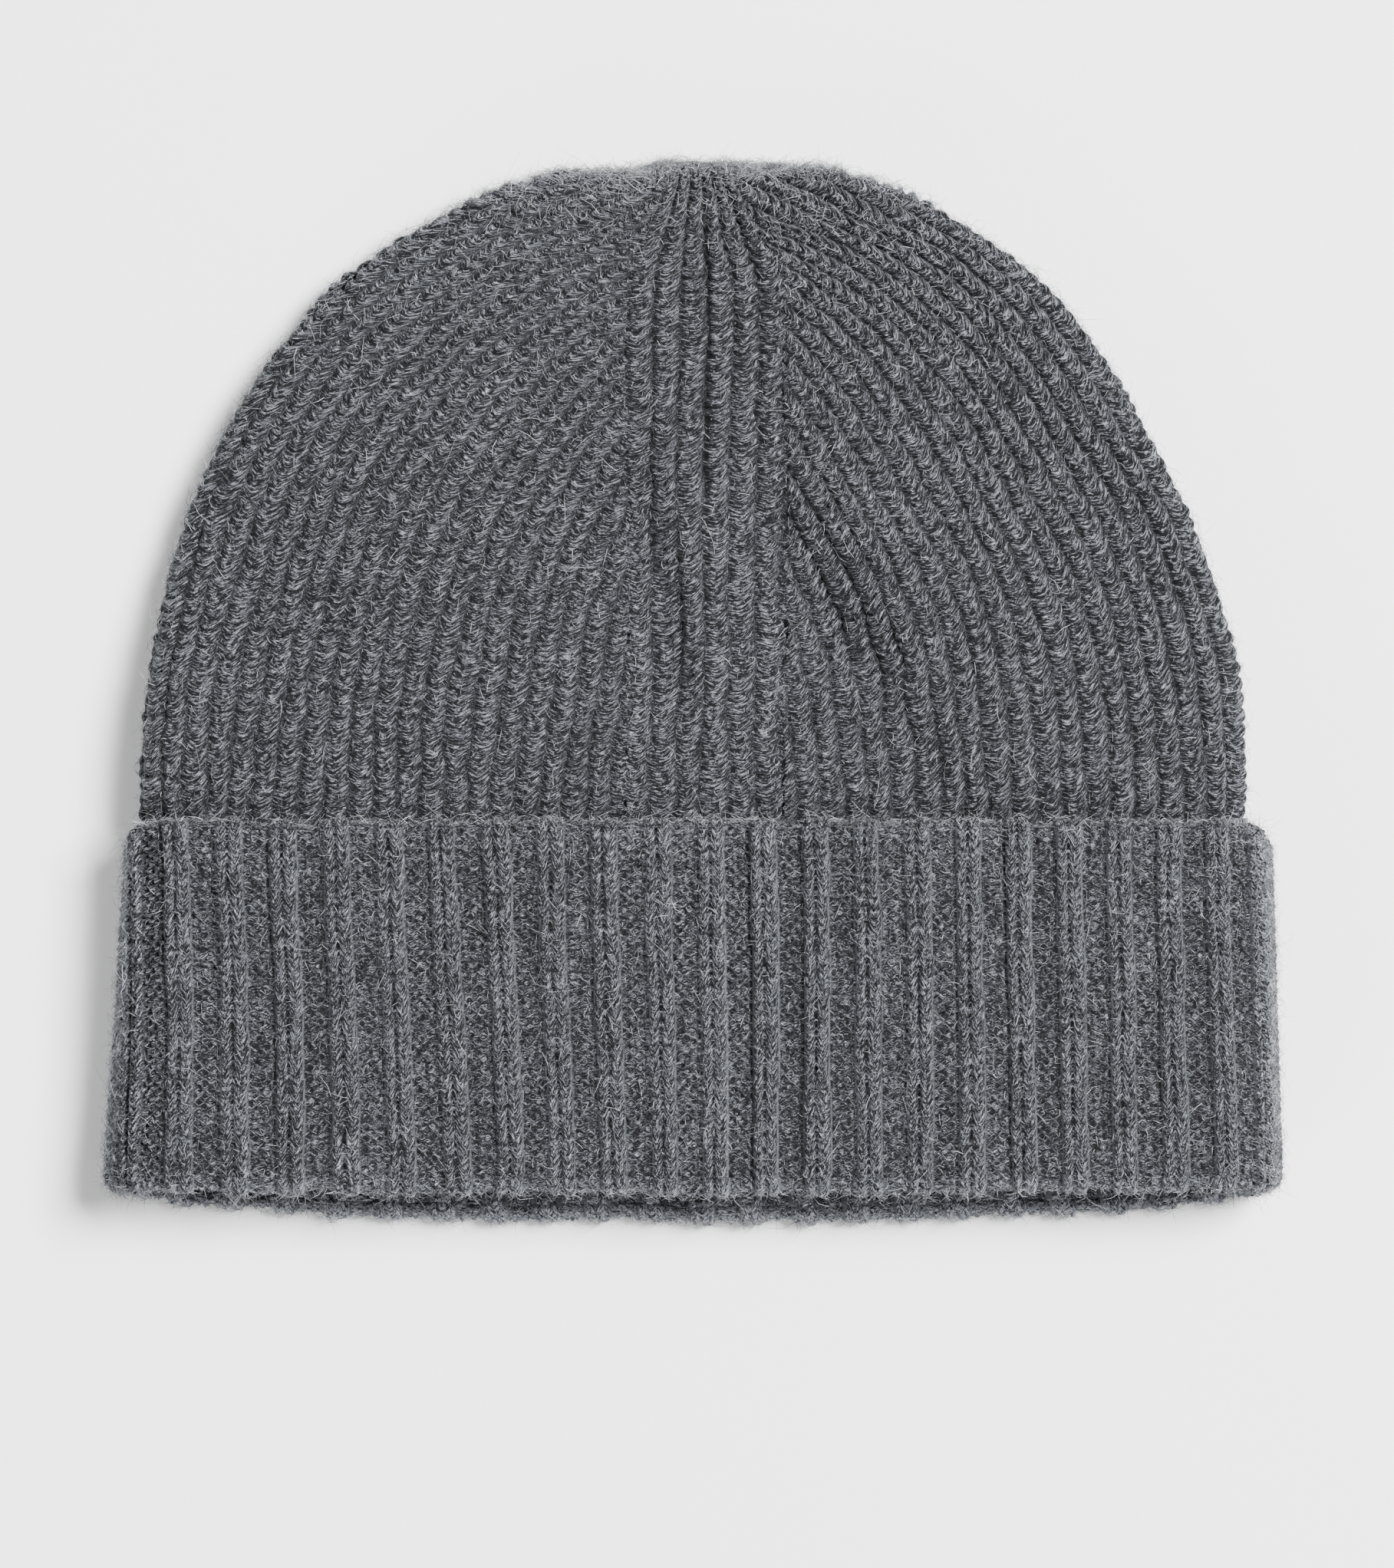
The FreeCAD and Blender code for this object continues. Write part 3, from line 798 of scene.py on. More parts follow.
# %% Relief of the cuff's 2x2 rib
CUFF_ROW = 1.65
KNIT_SHARE = 0.57
CUFF_RIB = 10.1
HOLLOW = 1.1
CUFF_STRAND = 1.15
ROOF_RISE = 1.75
ROOF_SHARE = 0.5
BRIGHT_RIB = 7.0
BRIGHT_RISE = 0.7
DARK_HOLLOW = 21.0
DARK_DROP = 0.5
CUFF_CENTRE_Y = -62.0
PURL_TIERS = 1.5
RIB_LEAN = 0.059
RIB_SPREAD = 2.3e-5


def front_rib(x, y):
    """Rib number across the front: wider apart on the left, and leaning there."""
    left = smooth_step(25, -50, x)
    upright = x + RIB_LEAN * (y - CUFF_CENTRE_Y) * left
    return upright / CUFF_RIB + RIB_SPREAD * upright**2


def cuff_rib(s, y, face):
    """Rib number at share s: the back spreads what the front leaves over at its two folds."""
    length = ring_length(CUFF_CENTRE_Y)
    if face > 0:
        return front_rib(s * length, y)
    low = front_rib(-length, y)
    high = front_rib(length, y)
    return low + (high - low) * (s + 1) / 2


def knit_wales(part, pair, row):
    """Height in mm and strand coordinates of a rib's two knit wales: strands that make roofs."""
    wale_part = np.clip(part / KNIT_SHARE, 0, ALMOST_ONE) * 2
    wale = np.floor(wale_part)
    offset = wale_part - wale - 0.5
    out = np.abs(2 * offset)
    phase = row + ROOF_RISE * out**1.2 + 0.5 * scatter(pair, wale)
    stitch = np.floor(phase)
    bump = hump(phase - stitch, 2.0, 0.7)
    own = 0.6 + 0.8 * scatter(pair * 2 + wale, stitch, np.sign(offset))
    wale_round = -0.9 * out**2.2 - 0.3 * bump_at(out, 0, 0.2)
    wale_round = wale_round + 0.2 * wale - 0.25 * bump_at(wale_part, 1, 0.13)
    height = wale_round + CUFF_STRAND * own * (bump - 0.7) * (1 - 0.3 * out)
    seed = pair * 2.9 + wale * 1.7 + np.sign(offset) * 0.9 + stitch * 0.37
    return height, stacked(phase * CUFF_ROW * ROOF_SHARE, row * CUFF_ROW, seed)


def purl_hollow(part, pair, row, x):
    """Height in mm and strand coordinates of the purl hollow: short level arcs, side by side."""
    across = np.clip((part - KNIT_SHARE) / (1 - KNIT_SHARE), 0, 1) * 2
    tier = np.floor(PURL_TIERS * row)
    arc = PURL_TIERS * row + 0.3 * np.cos(2 * np.pi * across + np.pi * tier) + scatter(pair, 9.0)
    level = np.floor(arc)
    bump = hump(arc - level, 2.0, 0.8)
    lump = 0.5 + 0.5 * np.cos(2 * np.pi * across + np.pi * level)
    own = 0.5 + scatter(pair, level, np.floor(across))
    deep = HOLLOW * (0.75 + 0.5 * scatter(pair, 4.0)) + 0.3 + DARK_DROP * bump_at(x, DARK_HOLLOW, 4)
    height = 1.15 * own * bump * lump - deep - 0.25 * np.abs(across - 1) ** 3
    return height, stacked(arc * CUFF_ROW / PURL_TIERS, x, pair * 1.9 + level * 0.53)


def two_by_two(rib, row, x, y):
    """Relief in mm and strand coordinates of 2x2 rib at given rib and row numbers.

    Two raised knit wales fill the rib's first part and the purl hollow the rest, with a steep
    wall on each side. One rib stands a little prouder than the others.
    """
    rib = rib + 0.035 * soft_noise(x, y, 9, 51)
    row = row + 0.18 * soft_noise(x, y, 5, 52)
    pair = np.floor(rib)
    part = rib - pair
    left_wall = smooth_step(0, 0.14, part) + smooth_step(0.95, 1.0, part) * 0.1
    raised = left_wall * smooth_step(KNIT_SHARE + 0.07, KNIT_SHARE - 0.08, part)
    knit, knit_strand = knit_wales(part, pair, row)
    purl, purl_strand = purl_hollow(part, pair, row, x)
    relief = (knit + BRIGHT_RISE * bump_at(x, BRIGHT_RIB, 4.5)) * raised + purl * (1 - raised)
    return relief, np.where((raised > 0.5)[..., None], knit_strand, purl_strand)


print("cuff ribs on the front:", front_rib(CUFF_HALF_TOP, 0) - front_rib(-CUFF_HALF_TOP, 0))

# %% [markdown]
# ## The cuff's pieces
#
# The outer band is split into four patches, the roll and the inner band into two each. Rows
# are counted along the fabric from the cast-on edge, down, round the roll and up again, so
# the ribs run through from one piece to the next.

# %% Knit the cuff
CUFF_FINE_X = 0.36
CUFF_FINE_Y = 0.30
CUFF_PLAIN = 0.6
FOLD_FINE_Y = 0.4
LINING_STEP = 1.0
LIP_FINE_Y = 0.45
LIP_FABRIC = 1.2
SIDE_FLATTER = 0.35
LINING_RELIEF = 0.8
CUFF_FABRIC = 2.4
LAYERS = {"front": 1, "back": -1}


def band_height(s, face):
    """Length of the outer band along Y at share s."""
    return edge_y(s) - (mouth_y(s, face) + ROLL)


def plain_side(s):
    """Share of the relief left where the cuff is stretched round its side folds."""
    return 1 - SIDE_FLATTER * smooth_step(0.93, 0.985, np.abs(s))


def knit_band(name, face, span, step_x, step_y):
    """A stretch of the outer band between two shares of its width, flatter at its side folds, with light
    painted on them and along its free edge.
    """
    rows = steps(CUFF_TOP - MOUTH_FRONT - ROLL, step_y)
    columns = steps(ring_length(CUFF_CENTRE_Y) * (span[1] - span[0]), step_x)
    s = np.linspace(span[0], span[1], columns)[None, :]
    t = np.linspace(0, 1, rows)[:, None]
    y = edge_y(s) - t * band_height(s, face)
    base = ring_point(s, y, 0.0, face)
    run = (edge_y(s) - y) + LIP
    relief, strand = two_by_two(cuff_rib(s, y, face), run / CUFF_ROW, s * NOISE_RUN + 0 * y, y)
    relief = relief * plain_side(s)
    middle = base * np.array([0.85, 1, 0]) + np.array([0, 0, CUFF_MIDDLE])
    # Painted light: the side folds are lightened, the left one twice as much as the right, and so is a
    # strip along the free edge.
    painted_side_light = (1.5 - 0.5 * np.sign(s)) * smooth_step(0.9, 0.97, np.abs(s))
    painted_brightening = painted_side_light + 0.35 * smooth_step(5, 0, edge_y(s) - y)
    return knitted_patch(name, base, middle, relief, strand, CUFF_FABRIC, ON_TABLE, painted_brightening)


def fold_middle(s, face):
    """Centre line of the roll."""
    y = mouth_y(s, face) + ROLL
    return ring_point(s, y, ROLL, face)


def knit_fold(name, face, step_x, step_y):
    """The roll: half a turn from the outer band to the inner one."""
    rows = steps(np.pi * ROLL, step_y)
    columns = steps(2 * ring_length(CUFF_CENTRE_Y), step_x)
    s = np.linspace(-1, 1, columns)[None, :]
    turn = np.linspace(0, np.pi, rows)[:, None]
    centre_y = mouth_y(s, face) + ROLL
    y = centre_y - ROLL * np.sin(turn)
    base = ring_point(s, y, ROLL * (1 - np.cos(turn)), face)
    run = band_height(s, face) + LIP + ROLL * turn
    relief, strand = two_by_two(cuff_rib(s, y, face), run / CUFF_ROW, s * NOISE_RUN + 0 * y, run)
    relief = relief * (0.9 - 0.1 * np.sin(turn)) * plain_side(s)
    middle = fold_middle(s, face) + 0 * base
    # Painted light: the roll is lightened most half way round, and the back's roll, which lies in the
    # front's shadow, more than the front's.
    painted_brightening = 0.6 - 0.4 * face + 1.1 * np.sin(turn) ** 2 + 0 * s
    return knitted_patch(name, base, middle, relief, strand, CUFF_FABRIC, ON_TABLE, painted_brightening)


def knit_lining(name, face, step):
    """The inner band, whose face looks into the hat."""
    rows = steps(CUFF_TOP - MOUTH_FRONT - ROLL, step)
    columns = steps(2 * ring_length(CUFF_CENTRE_Y), step)
    s = np.linspace(-1, 1, columns)[None, :]
    t = np.linspace(0, 1, rows)[:, None]
    low = mouth_y(s, face) + ROLL
    y = low + t * (CUFF_TOP - low)
    base = ring_point(s, y, 2 * ROLL, face)
    run = band_height(s, face) + LIP + np.pi * ROLL + (y - low)
    relief, strand = two_by_two(cuff_rib(s, y, face), run / CUFF_ROW, s * NOISE_RUN + 0 * y, run)
    relief = relief * LINING_RELIEF
    outside = ring_point(s, y, 0.0, face)
    # Painted light: the lining is lightened near the roll, where it lies in shade.
    painted_brightening = 1.3 * smooth_step(14, 0, y - low)
    return knitted_patch(name, base, outside, relief, strand, CUFF_FABRIC, None, painted_brightening)


for layer, face in LAYERS.items():
    for word, side in SIDES.items():
        span = (-1.0, 0.0) if side < 0 else (0.0, 1.0)
        fine = (CUFF_FINE_X, CUFF_FINE_Y) if face > 0 else (CUFF_PLAIN, CUFF_PLAIN)
        band = knit_band(f"cuff_outer_band_{layer}_{word}", face, span, *fine)
        add(band, "cuff_outer_band", "knit_cuff")
    roll = knit_fold(f"cuff_fold_{layer}", face, CUFF_FINE_X, FOLD_FINE_Y)
    add(roll, "cuff_fold", "knit_cuff")
    lining = knit_lining(f"cuff_inner_band_{layer}", face, LINING_STEP)
    add(lining, "cuff_inner_band", "knit_cuff")


# %% [markdown]
# ## The cast-on edge
#
# The cuff's free edge is a rounded lip. It is half a turn of the fabric's thickness, from
# the outer face over to the side that faces the hood, and it bulges where a raised pair of
# ribs reaches it.

# %% Knit the lip
def knit_lip(name, face, step_x, step_y):
    """Half a turn round the free edge."""
    rows = steps(np.pi * LIP, step_y)
    columns = steps(2 * ring_length(CUFF_CENTRE_Y), step_x)
    s = np.linspace(-1, 1, columns)[None, :]
    turn = np.linspace(0, np.pi, rows)[:, None]
    y = edge_y(s) + LIP * np.sin(turn)
    base = ring_point(s, y, LIP * (1 - np.cos(turn)), face)
    run = LIP - LIP * turn
    rib = cuff_rib(s, y, face)
    relief, strand = two_by_two(rib, run / CUFF_ROW, s * NOISE_RUN + 0 * y, run + 0 * s)
    relief = relief * (1 - 0.3 * np.sin(turn)) + 0.45 * soft_noise(s * NOISE_RUN, run, 2.5, 43) - 0.15
    centre = ring_point(s, edge_y(s), LIP, face)
    return knitted_patch(name, base, centre + 0 * base, relief, strand, LIP_FABRIC, ON_TABLE)


for layer, face in LAYERS.items():
    lip = knit_lip(f"cast_on_edge_{layer}", face, CUFF_FINE_X, LIP_FINE_Y)
    add(lip, "cast_on_edge", "knit_cuff")

# %% [markdown]
# ## Yarns
#
# Seams and drawn-in yarns are tubes carried along a path. The profile isn't a circle but
# two bulges that turn as they go, because the yarn is two plies twisted together.

# %% Twisted yarn along a path
YARN_SIDES = 8
PLY_TURN = 3.2
PLY_BULGE = 0.2
YARN_END = 0.3
SIDEWAYS = np.array([0.13, 0.21, 0.97])


def yarn(name, path, radius, closed=False):
    """A two-ply tube: a ring at each path point, its radius times 1 + bulge cos(2 (angle - twist))."""
    path = np.asarray(path, float)
    if closed:
        ahead = np.roll(path, -1, 0) - np.roll(path, 1, 0)
    else:
        ahead = np.gradient(path, axis=0)
    ahead /= np.linalg.norm(ahead, axis=1, keepdims=True)
    side = np.cross(ahead, SIDEWAYS)
    side /= np.linalg.norm(side, axis=1, keepdims=True)
    over = np.cross(side, ahead)
    length = np.concatenate([[0], np.cumsum(np.linalg.norm(np.diff(path, axis=0), axis=1))])
    angle = np.linspace(0, 2 * np.pi, YARN_SIDES, endpoint=False)[None, :]
    twist = 2 * np.pi * length[:, None] / PLY_TURN
    size = radius * (1 + PLY_BULGE * np.cos(2 * (angle - twist)))
    if not closed:
        size[0] *= YARN_END
        size[-1] *= YARN_END
    rings = path[:, None] + (size * np.cos(angle))[..., None] * side[:, None]
    rings = rings + (size * np.sin(angle))[..., None] * over[:, None]
    number = np.arange(len(path) * YARN_SIDES).reshape(len(path), YARN_SIDES)
    here = number if closed else number[:-1]
    there = np.roll(number, -1, 0) if closed else number[1:]
    walls = np.stack([here, np.roll(here, -1, 1), np.roll(there, -1, 1), there], -1).reshape(-1, 4)
    groups = [walls]
    if not closed:
        groups += [number[:1, ::-1], number[-1:]]
    strand = np.stack(np.broadcast_arrays(angle * radius, length[:, None] + 0 * angle, 0.7), -1)
    return link_mesh(name, rings.reshape(-1, 3), groups, strand.reshape(-1, 3))


# %% Seams, gathered tip and woven-in end
SWAY_POINTS = 6
HOOD_STITCH = 2.5
SEAM_RADIUS = 0.7
SEAM_HEIGHT = 0.9
SEAM_SWAY = 0.8
DART_YARN = 0.5
DART_SINK = 2.6
DART_SWAY = 0.35
BACK_SINK = 0.2
BACK_SWAY = 0.9
LINING_FACE = 3.4
GATHER_RADIUS = 0.75
KNOT_YARN = 0.6
GATHER_YARN = 0.8


def zigzag(start, end, pitch, sway, points=SWAY_POINTS):
    """A path that sways from side to side in X while it goes from start to end."""
    start = np.array(start, float)
    end = np.array(end, float)
    count = int(np.linalg.norm(end - start) / pitch * points)
    t = np.linspace(0, 1, count)[:, None]
    path = start + (end - start) * t
    path[:, 0] += sway * np.sin(2 * np.pi * np.arange(count) / points)
    return path


def surface_seam(x, y, face, sink, sway):
    """A zigzag on the hood's surface along Y, sunk by a given depth."""
    count = int((y[1] - y[0]) / HOOD_STITCH * SWAY_POINTS)
    ys = np.linspace(y[0], y[1], count)
    xs = x + sway * np.sin(2 * np.pi * np.arange(count) / SWAY_POINTS)
    path = hood_point(xs, ys, 1 + 0 * xs, face)
    path[:, 2] -= face * sink
    path[:, 2] = np.maximum(path[:, 2], SEAM_HEIGHT)
    return path


dart_path = surface_seam(dart_x, (dart_low[1], TIP - 14), 1, DART_SINK, DART_SWAY)
add(yarn("front_dart_yarn", dart_path, DART_YARN), "front_dart_seam", "seam_yarn")
back_path = surface_seam(0.0, (CUFF_TOP - 4, TIP - 5), -1, BACK_SINK, BACK_SWAY)
add(yarn("back_seam_yarn", back_path, SEAM_RADIUS), "back_seam", "seam_yarn")
cuff_z = SEAM_RADIUS + 0.15
cuff_path = zigzag((0, MOUTH_BACK + 3, cuff_z), (0, CUFF_TOP - 2, cuff_z), CUFF_ROW, SEAM_SWAY)
add(yarn("cuff_seam_yarn", cuff_path, SEAM_RADIUS), "cuff_back_seam", "seam_yarn")
lining_z = lining_low[2] + LINING_FACE
inner_path = zigzag((0, MOUTH_BACK + 4, lining_z), (0, CUFF_TOP - 1, lining_z), CUFF_ROW, SEAM_SWAY)
add(yarn("cuff_inner_seam_yarn", inner_path, SEAM_RADIUS), "cuff_inner_seam", "seam_yarn")

gather_low, gather_high = corners("crown_gather_yarn")
gather_centre = (gather_low + gather_high) / 2
gather_radius = (gather_high[0] - gather_low[0]) / 2 - GATHER_YARN
around = np.linspace(0, 2 * np.pi, 64, endpoint=False)
gather_path = np.stack(
    [
        gather_centre[0] + gather_radius * np.cos(around),
        gather_centre[1] + 0.3 * np.sin(6 * around) - 1,
        hood_middle(gather_centre[1]) + 0.6 * gather_radius * np.sin(around),
    ],
    axis=1,
)
gather = yarn("crown_gather_ring", gather_path, GATHER_RADIUS, closed=True)
add(gather, "crown_gather_yarn", "seam_yarn")

knot_low, knot_high = corners("crown_knot")
knot_centre = (knot_low + knot_high) / 2
knot_centre[2] = hood_middle(knot_centre[1])
knot_path = knot_centre + 0.95 * np.stack(
    [np.sin(around) + 2 * np.sin(2 * around), np.cos(around) - 2 * np.cos(2 * around), -np.sin(3 * around)],
    axis=1,
) / 2
knot = yarn("crown_knot_yarn", knot_path, KNOT_YARN, closed=True)
add(knot, "crown_knot", "seam_yarn")

tail_low, tail_high = corners("yarn_tail")
tail_start = [(tail_low[0] + tail_high[0]) / 2, tail_high[1], tail_high[2] - GATHER_YARN]
tail_end = [tail_start[0], tail_low[1], tail_low[2] + GATHER_YARN]
tail_path = zigzag(tail_start, tail_end, 2 * HOOD_STITCH, BACK_SWAY, 2 * SWAY_POINTS)
add(yarn("woven_in_end", tail_path, SEAM_RADIUS), "yarn_tail", "seam_yarn")

# %% [markdown]
# ## The label
#
# A folded tape, sewn in at the back seam and left blank. Its free end curls a little. It is
# a strip carried along a curve, closed by the same quilted patch as the knitting.

# %% Tape and its stitches
label_low, label_high = corners("care_label")
LABEL_STEP = 0.4
LABEL_CLOTH = 0.7
LABEL_CURL = 0.9
THREAD_RADIUS = 0.28
THREAD_STITCH = 2.2
THREAD_POINTS = 8
THREAD_RISE = 0.35
THREAD_ABOVE = 0.3


def make_label():
    """A curved strip whose free end lifts by up to a millimetre."""
    rows = steps(label_high[1] - label_low[1], LABEL_STEP)
    columns = steps(label_high[0] - label_low[0], LABEL_STEP)
    u = np.linspace(0, 1, columns)[None, :]
    v = np.linspace(0, 1, rows)[:, None]
    x = label_low[0] + (label_high[0] - label_low[0]) * u + 0 * v
    y = label_low[1] + (label_high[1] - label_low[1]) * v + 0 * u
    slope = label_high[2] - (label_high[2] - label_low[2] - LABEL_CURL) * v
    z = slope + LABEL_CURL * (1 - v) ** 3 * (0.6 + 0.4 * u) + 0.3
    base = np.stack([x, y, z + 0 * x], axis=-1)
    weave = 0.02 * np.sin(x * 9) * np.sin(y * 9)
    strand = np.stack([x, y, 0 * x], axis=-1)
    below = base - np.array([0, 0, 5.0])
    return knitted_patch("care_label_tape", base, below, weave, strand, LABEL_CLOTH)


add(make_label(), "care_label", "label_tape")
stitch_low, stitch_high = corners("label_stitches")
stitch_y = (stitch_low[1] + stitch_high[1]) / 2
stitch_path = zigzag(
    (stitch_low[0], stitch_y, stitch_high[2] + THREAD_ABOVE),
    (stitch_high[0], stitch_y, stitch_high[2] + THREAD_ABOVE),
    THREAD_STITCH,
    0.0,
    THREAD_POINTS,
)
stitch_path[:, 2] += THREAD_RISE * np.sin(2 * np.pi * np.arange(len(stitch_path)) / THREAD_POINTS)
add(yarn("label_stitch_line", stitch_path, THREAD_RADIUS), "label_stitches", "label_thread")

# %% [markdown]
# ## Fuzz
#
# Wool is hairy. Thousands of fine fibres stand out of the yarn and make the outline soft.
# Each is a thin three-sided spike of two lengths, bent once, which is only eight faces.
# They are all worked out at once from the points and normals of the knitted faces.

# %% Grow the fibres
FIBRE_RADIUS = 0.045
RIM_FACING = 0.6
RIM_HEIGHT = 2


def fibres(name, sources, count, length, seed, rim):
    """Spikes from random points: root, elbow and tip, leaning along the surface and outwards."""
    rng = np.random.default_rng(seed)
    grounds = [fuzz_ground[source] for source in sources]
    points = np.concatenate([g[0].reshape(-1, 3) for g in grounds])
    normals = np.concatenate([g[1].reshape(-1, 3) for g in grounds])
    if rim:
        keep_points = (np.abs(normals[:, 2]) < RIM_FACING) & (points[:, 2] > RIM_HEIGHT)
        points = points[keep_points]
        normals = normals[keep_points]
    pick = rng.integers(0, len(points), count)
    root = points[pick]
    normal = normals[pick]
    lie = rng.normal(size=(count, 3))
    lie -= np.sum(lie * normal, 1, keepdims=True) * normal
    lie /= np.linalg.norm(lie, axis=1, keepdims=True)
    rise = rng.uniform(0.15, 0.9, (count, 1))
    reach = rng.gamma(3.0, length / 3.0, (count, 1))
    elbow = root + reach * (0.5 * lie + 0.45 * rise * normal)
    bend = rng.normal(size=(count, 3)) * 0.35
    tip = elbow + reach * 0.55 * (lie + bend + 0.3 * rise * normal)
    root = root - 0.15 * normal
    spine = np.stack([root, elbow, tip], axis=1)
    spine[..., 2] = np.maximum(spine[..., 2], ON_TABLE + FIBRE_RADIUS)
    other = np.cross(lie, normal)
    angle = np.array([0, 2, 4]) * np.pi / 3
    ring = np.cos(angle)[:, None] * normal[:, None] + np.sin(angle)[:, None] * other[:, None]
    size = FIBRE_RADIUS * np.array([1.0, 0.85, 0.35])[None, :, None, None]
    corners_of = spine[:, :, None] + size * ring[:, None]
    number = np.arange(count * 9).reshape(count, 3, 3)
    lower = number[:, :2]
    upper = number[:, 1:]
    walls = np.stack([lower, np.roll(lower, -1, 2), np.roll(upper, -1, 2), upper], -1)
    ends = np.concatenate([number[:, 0, ::-1], number[:, 2]])
    strand = np.zeros((count, 9, 3))
    strand[..., 2] = rng.uniform(0, 40, (count, 1))
    # Every fibre sits at the top level, which the wool paints at its lightest tone.
    level = np.ones(count * 9)
    points_out = corners_of.reshape(-1, 3)
    return link_mesh(name, points_out, [walls.reshape(-1, 4), ends], strand.reshape(-1, 3), level)


hood_front = [name for name in fuzz_ground if "panel_front" in name or name == "front_column_knit"]
hood_all = [name for name in fuzz_ground if "panel" in name or "column" in name]
cuff_front = [name for name in fuzz_ground if "band_front" in name or name == "cuff_fold_front"]
cuff_rims = [name for name in fuzz_ground if "cuff_fold" in name or "cast_on" in name or "outer" in name]
# Each patch of fuzz: name, where it grows, how many, mean length, seed, rims only, slot.
FUZZ = (
    ("hood_fuzz", hood_front, 11000, 1.6, 71, False, "knit_body"),
    ("hood_rim_fuzz", hood_all, 8000, 1.8, 73, True, "knit_body"),
    ("cuff_fuzz", cuff_front, 9000, 1.4, 72, False, "knit_cuff"),
    ("cuff_rim_fuzz", cuff_rims, 12000, 1.6, 74, True, "knit_cuff"),
)
for *growth, slot in FUZZ:
    add(fibres(*growth), None, slot)

# %% [markdown]
# ## Writing shader maths as expressions
#
# A node tree is easier to read as a formula. This small class wraps one socket and turns
# `a * b + 1` into Math nodes. Every other node comes from one method, which takes the
# node's type, its settings and its inputs.

# %% Sockets as numbers
class Wire:
    """One output socket of a node tree, with arithmetic."""

    def __init__(self, tree, socket):
        self.tree = tree
        self.socket = socket

    def node(self, kind, settings=(), output=0, **inputs):
        """A new node of this kind; inputs are named with _ for a space."""
        made = self.tree.nodes.new(kind)
        for key, value in dict(settings).items():
            setattr(made, key, value)
        for key, value in inputs.items():
            spot = int(key[1:]) if key[0] == "i" and key[1:].isdigit() else key.replace("_", " ")
            if isinstance(value, Wire):
                self.tree.links.new(value.socket, made.inputs[spot])
            else:
                made.inputs[spot].default_value = value
        return Wire(self.tree, made.outputs[output])

    def maths(self, operation, a, b=0.0):
        """A Math node of two inputs."""
        return self.node("ShaderNodeMath", {"operation": operation}, i0=a, i1=b)

    def __add__(self, other):
        return self.maths("ADD", self, other)

    def __radd__(self, other):
        return self.maths("ADD", other, self)

    def __sub__(self, other):
        return self.maths("SUBTRACT", self, other)

    def __rsub__(self, other):
        return self.maths("SUBTRACT", other, self)

    def __mul__(self, other):
        return self.maths("MULTIPLY", self, other)

    def __rmul__(self, other):
        return self.maths("MULTIPLY", other, self)


def new_material(name):
    """An empty material with a Principled shader, and a wire to start from."""
    material = bpy.data.materials.new(name)
    material.use_nodes = True
    tree = material.node_tree
    shader = tree.nodes["Principled BSDF"]
    return material, tree, shader, Wire(tree, None)


# %% [markdown]
# ## Wool
#
# Heather grey yarn is spun from light and dark fibres. So the colour is noise stretched
# along the strand: one noise has grains of about 0.4 by 1.7 mm, and a stronger one of about
# 0.2 by 1.2 mm. A wide, faint noise gives the yarn's own patches, and a very fine one its
# flecks. Tone also rises with the level, from the grooves up to the tops of the strands: this
# is painted shade in the grooves and painted light on the tops. The fine noises lift the
# fibres a little as bump. A soft sheen brightens grazing angles, as real fuzz does.

# %% Wool material
YARN_GRAIN = (2.6, 0.6, 0.9)
HAIR_GRAIN = (5.6, 0.85, 1.3)
PATCHES = 150.0
FLECKS = 3000.0


def wool(name, dark, light, painted_relief_shade=0.6, lift=-0.243, hairy=5.3):
    """Grey heather wool: colour, roughness and bump from noise along the strands.

    The share of the level in the tone paints shade into the grooves and light onto the strands'
    tops; lift shifts all of the tone, and hairy is how strongly the narrow grain shows. The tone's power of
    1.5 keeps the dark fibres dark.
    """
    material, tree, shader, wire = new_material(name)
    strand = wire.node("ShaderNodeAttribute", {"attribute_name": "strand"}, output=1)
    level = wire.node("ShaderNodeAttribute", {"attribute_name": "level"}, output=2)
    fine_place = strand.node(
        "ShaderNodeVectorMath", {"operation": "MULTIPLY"}, i0=strand, i1=YARN_GRAIN
    )
    fine = fine_place.node(
        "ShaderNodeTexNoise", Vector=fine_place, Scale=1.0, Detail=2.0, Roughness=0.65, Distortion=0.5
    )
    hair_place = strand.node(
        "ShaderNodeVectorMath", {"operation": "MULTIPLY"}, i0=strand, i1=HAIR_GRAIN
    )
    hair = hair_place.node(
        "ShaderNodeTexNoise", Vector=hair_place, Scale=1.0, Detail=1.5, Roughness=0.6, Distortion=0.4
    )
    place = wire.node("ShaderNodeTexCoord", output=3)
    wide = place.node("ShaderNodeTexNoise", Vector=place, Scale=PATCHES, Detail=4.0, Roughness=0.6)
    fleck = place.node("ShaderNodeTexNoise", Vector=place, Scale=FLECKS, Detail=2.0, Roughness=0.7)
    tone = (fine - 0.5) * 1.6 + (hair - 0.5) * hairy + (fleck - 0.5) * 2.6 + (wide - 0.5) * 0.5
    # The level adds painted shade in the grooves and painted light on the strands' tops.
    tone = tone + level * painted_relief_shade + lift
    tone = tone.maths("POWER", tone.maths("MAXIMUM", tone, 0.0), 1.5)
    colour = tone.node(
        "ShaderNodeMix",
        {"data_type": "RGBA", "clamp_factor": False},
        output=2,
        i0=tone,
        i6=(*dark, 1.0),
        i7=(*light, 1.0),
    )
    tree.links.new(colour.socket, shader.inputs["Base Color"])
    rough = 0.95 - fine * 0.15
    tree.links.new(rough.socket, shader.inputs["Roughness"])
    height = fine + fleck * 0.5
    bump = height.node("ShaderNodeBump", Height=height, Strength=0.9, Distance=0.0003)
    tree.links.new(bump.socket, shader.inputs["Normal"])
    shader.inputs["Specular IOR Level"].default_value = 0.08
    shader.inputs["Sheen Weight"].default_value = 0.2
    shader.inputs["Sheen Roughness"].default_value = 0.35
    shader.inputs["Sheen Tint"].default_value = (0.9, 0.95, 1.0, 1.0)
    return material


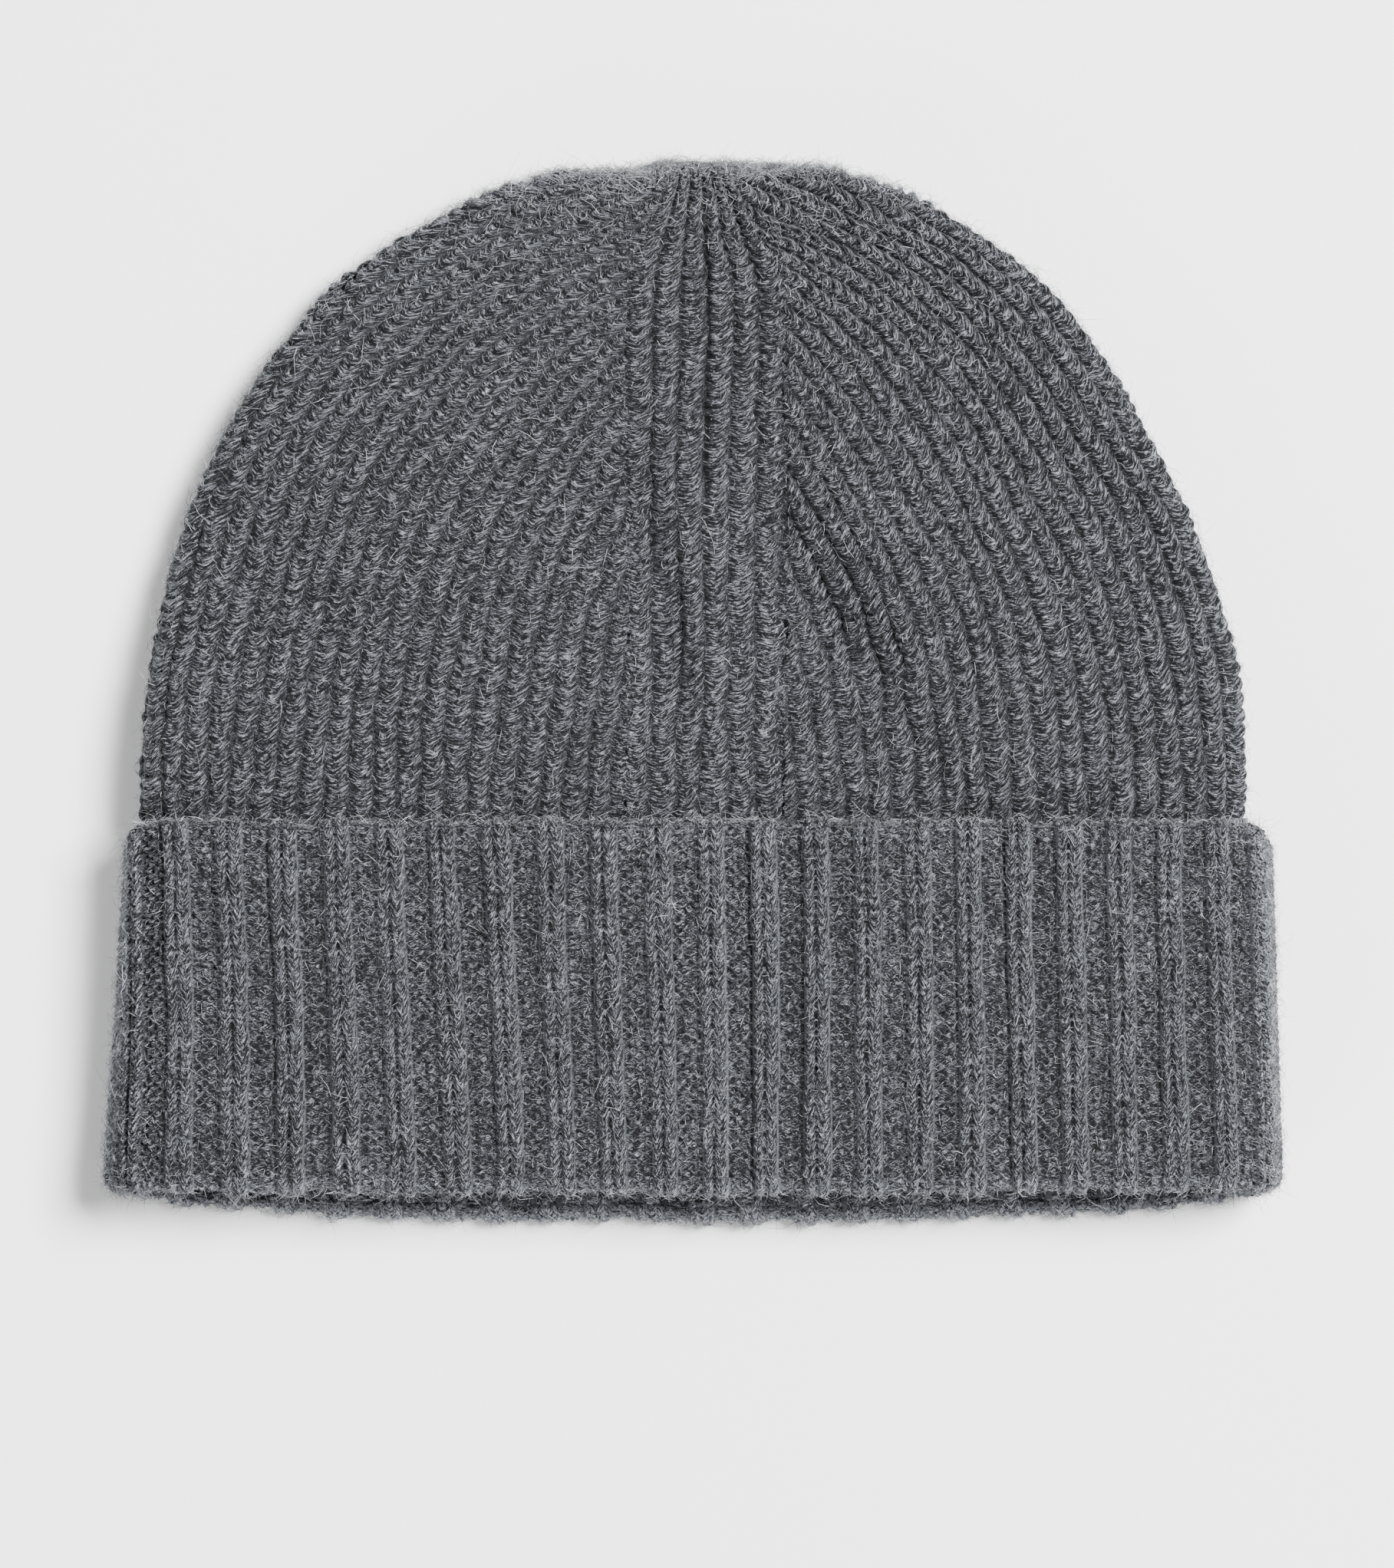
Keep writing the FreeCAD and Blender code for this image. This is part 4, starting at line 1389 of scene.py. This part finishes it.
DARK_WOOL = (0.0060, 0.0063, 0.0070)
LIGHT_WOOL = (0.104, 0.108, 0.1195)
SEAM_LIGHT = (0.07, 0.073, 0.08)
# The fuzz is far lighter than the yarn: partly the heather's light hairs, partly painted light standing in
# for the glow of backlit fibres along the outline.
FUZZ_DARK = (0.06, 0.062, 0.066)
FUZZ_LIGHT = (0.38, 0.39, 0.41)
wools = {
    "knit_body": wool("hood_wool", DARK_WOOL, LIGHT_WOOL),
    "knit_cuff": wool("cuff_wool", DARK_WOOL, LIGHT_WOOL, 0.43, -0.048, 5.6),
    "seam_yarn": wool("seam_wool", DARK_WOOL, SEAM_LIGHT),
    "fuzz": wool("fuzz_wool", FUZZ_DARK, FUZZ_LIGHT, 0.2, 0.3),
}

# %% Label tape, its thread and the table
def plain_cloth(name, low, high, scale, roughness):
    """A fine even weave: two colours mixed by noise, with a matching bump."""
    material, tree, shader, wire = new_material(name)
    place = wire.node("ShaderNodeTexCoord", output=3)
    grain = place.node("ShaderNodeTexNoise", Vector=place, Scale=scale, Detail=3.0)
    colour = grain.node(
        "ShaderNodeMix", {"data_type": "RGBA"}, output=2, i0=grain, i6=(*low, 1.0), i7=(*high, 1.0)
    )
    tree.links.new(colour.socket, shader.inputs["Base Color"])
    bump = grain.node("ShaderNodeBump", Height=grain, Strength=0.4, Distance=0.0001)
    tree.links.new(bump.socket, shader.inputs["Normal"])
    shader.inputs["Roughness"].default_value = roughness
    return material


wools["label_tape"] = plain_cloth("label_satin", (0.6, 0.6, 0.57), (0.78, 0.78, 0.76), 3000.0, 0.4)
wools["label_thread"] = plain_cloth("label_cotton", (0.4, 0.4, 0.38), (0.6, 0.6, 0.58), 2500.0, 0.6)
table_finish = plain_cloth("table_paper", (0.93, 0.93, 0.93), (0.94, 0.94, 0.94), 60.0, 0.9)
table_mesh.materials.append(table_finish)
print("materials:", ", ".join(sorted(wools)), "and the table's paper")

# %% [markdown]
# ## Hand over
#
# Every piece gets its material, rides on the hat's one body, and stands for the frame's
# nodes that it details. The triangles are counted and printed.

# %% Assign, ride and replace
for name, (piece, nodes, slot) in pieces.items():
    piece.data.materials.append(wools["fuzz" if "fuzz" in name else slot])
    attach(piece, "root")
    if nodes:
        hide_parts(*nodes)

triangles = 0
for piece, _, _ in pieces.values():
    piece.data.calc_loop_triangles()
    print(piece.name, len(piece.data.loop_triangles))
    triangles += len(piece.data.loop_triangles)
print("triangles in all", triangles)
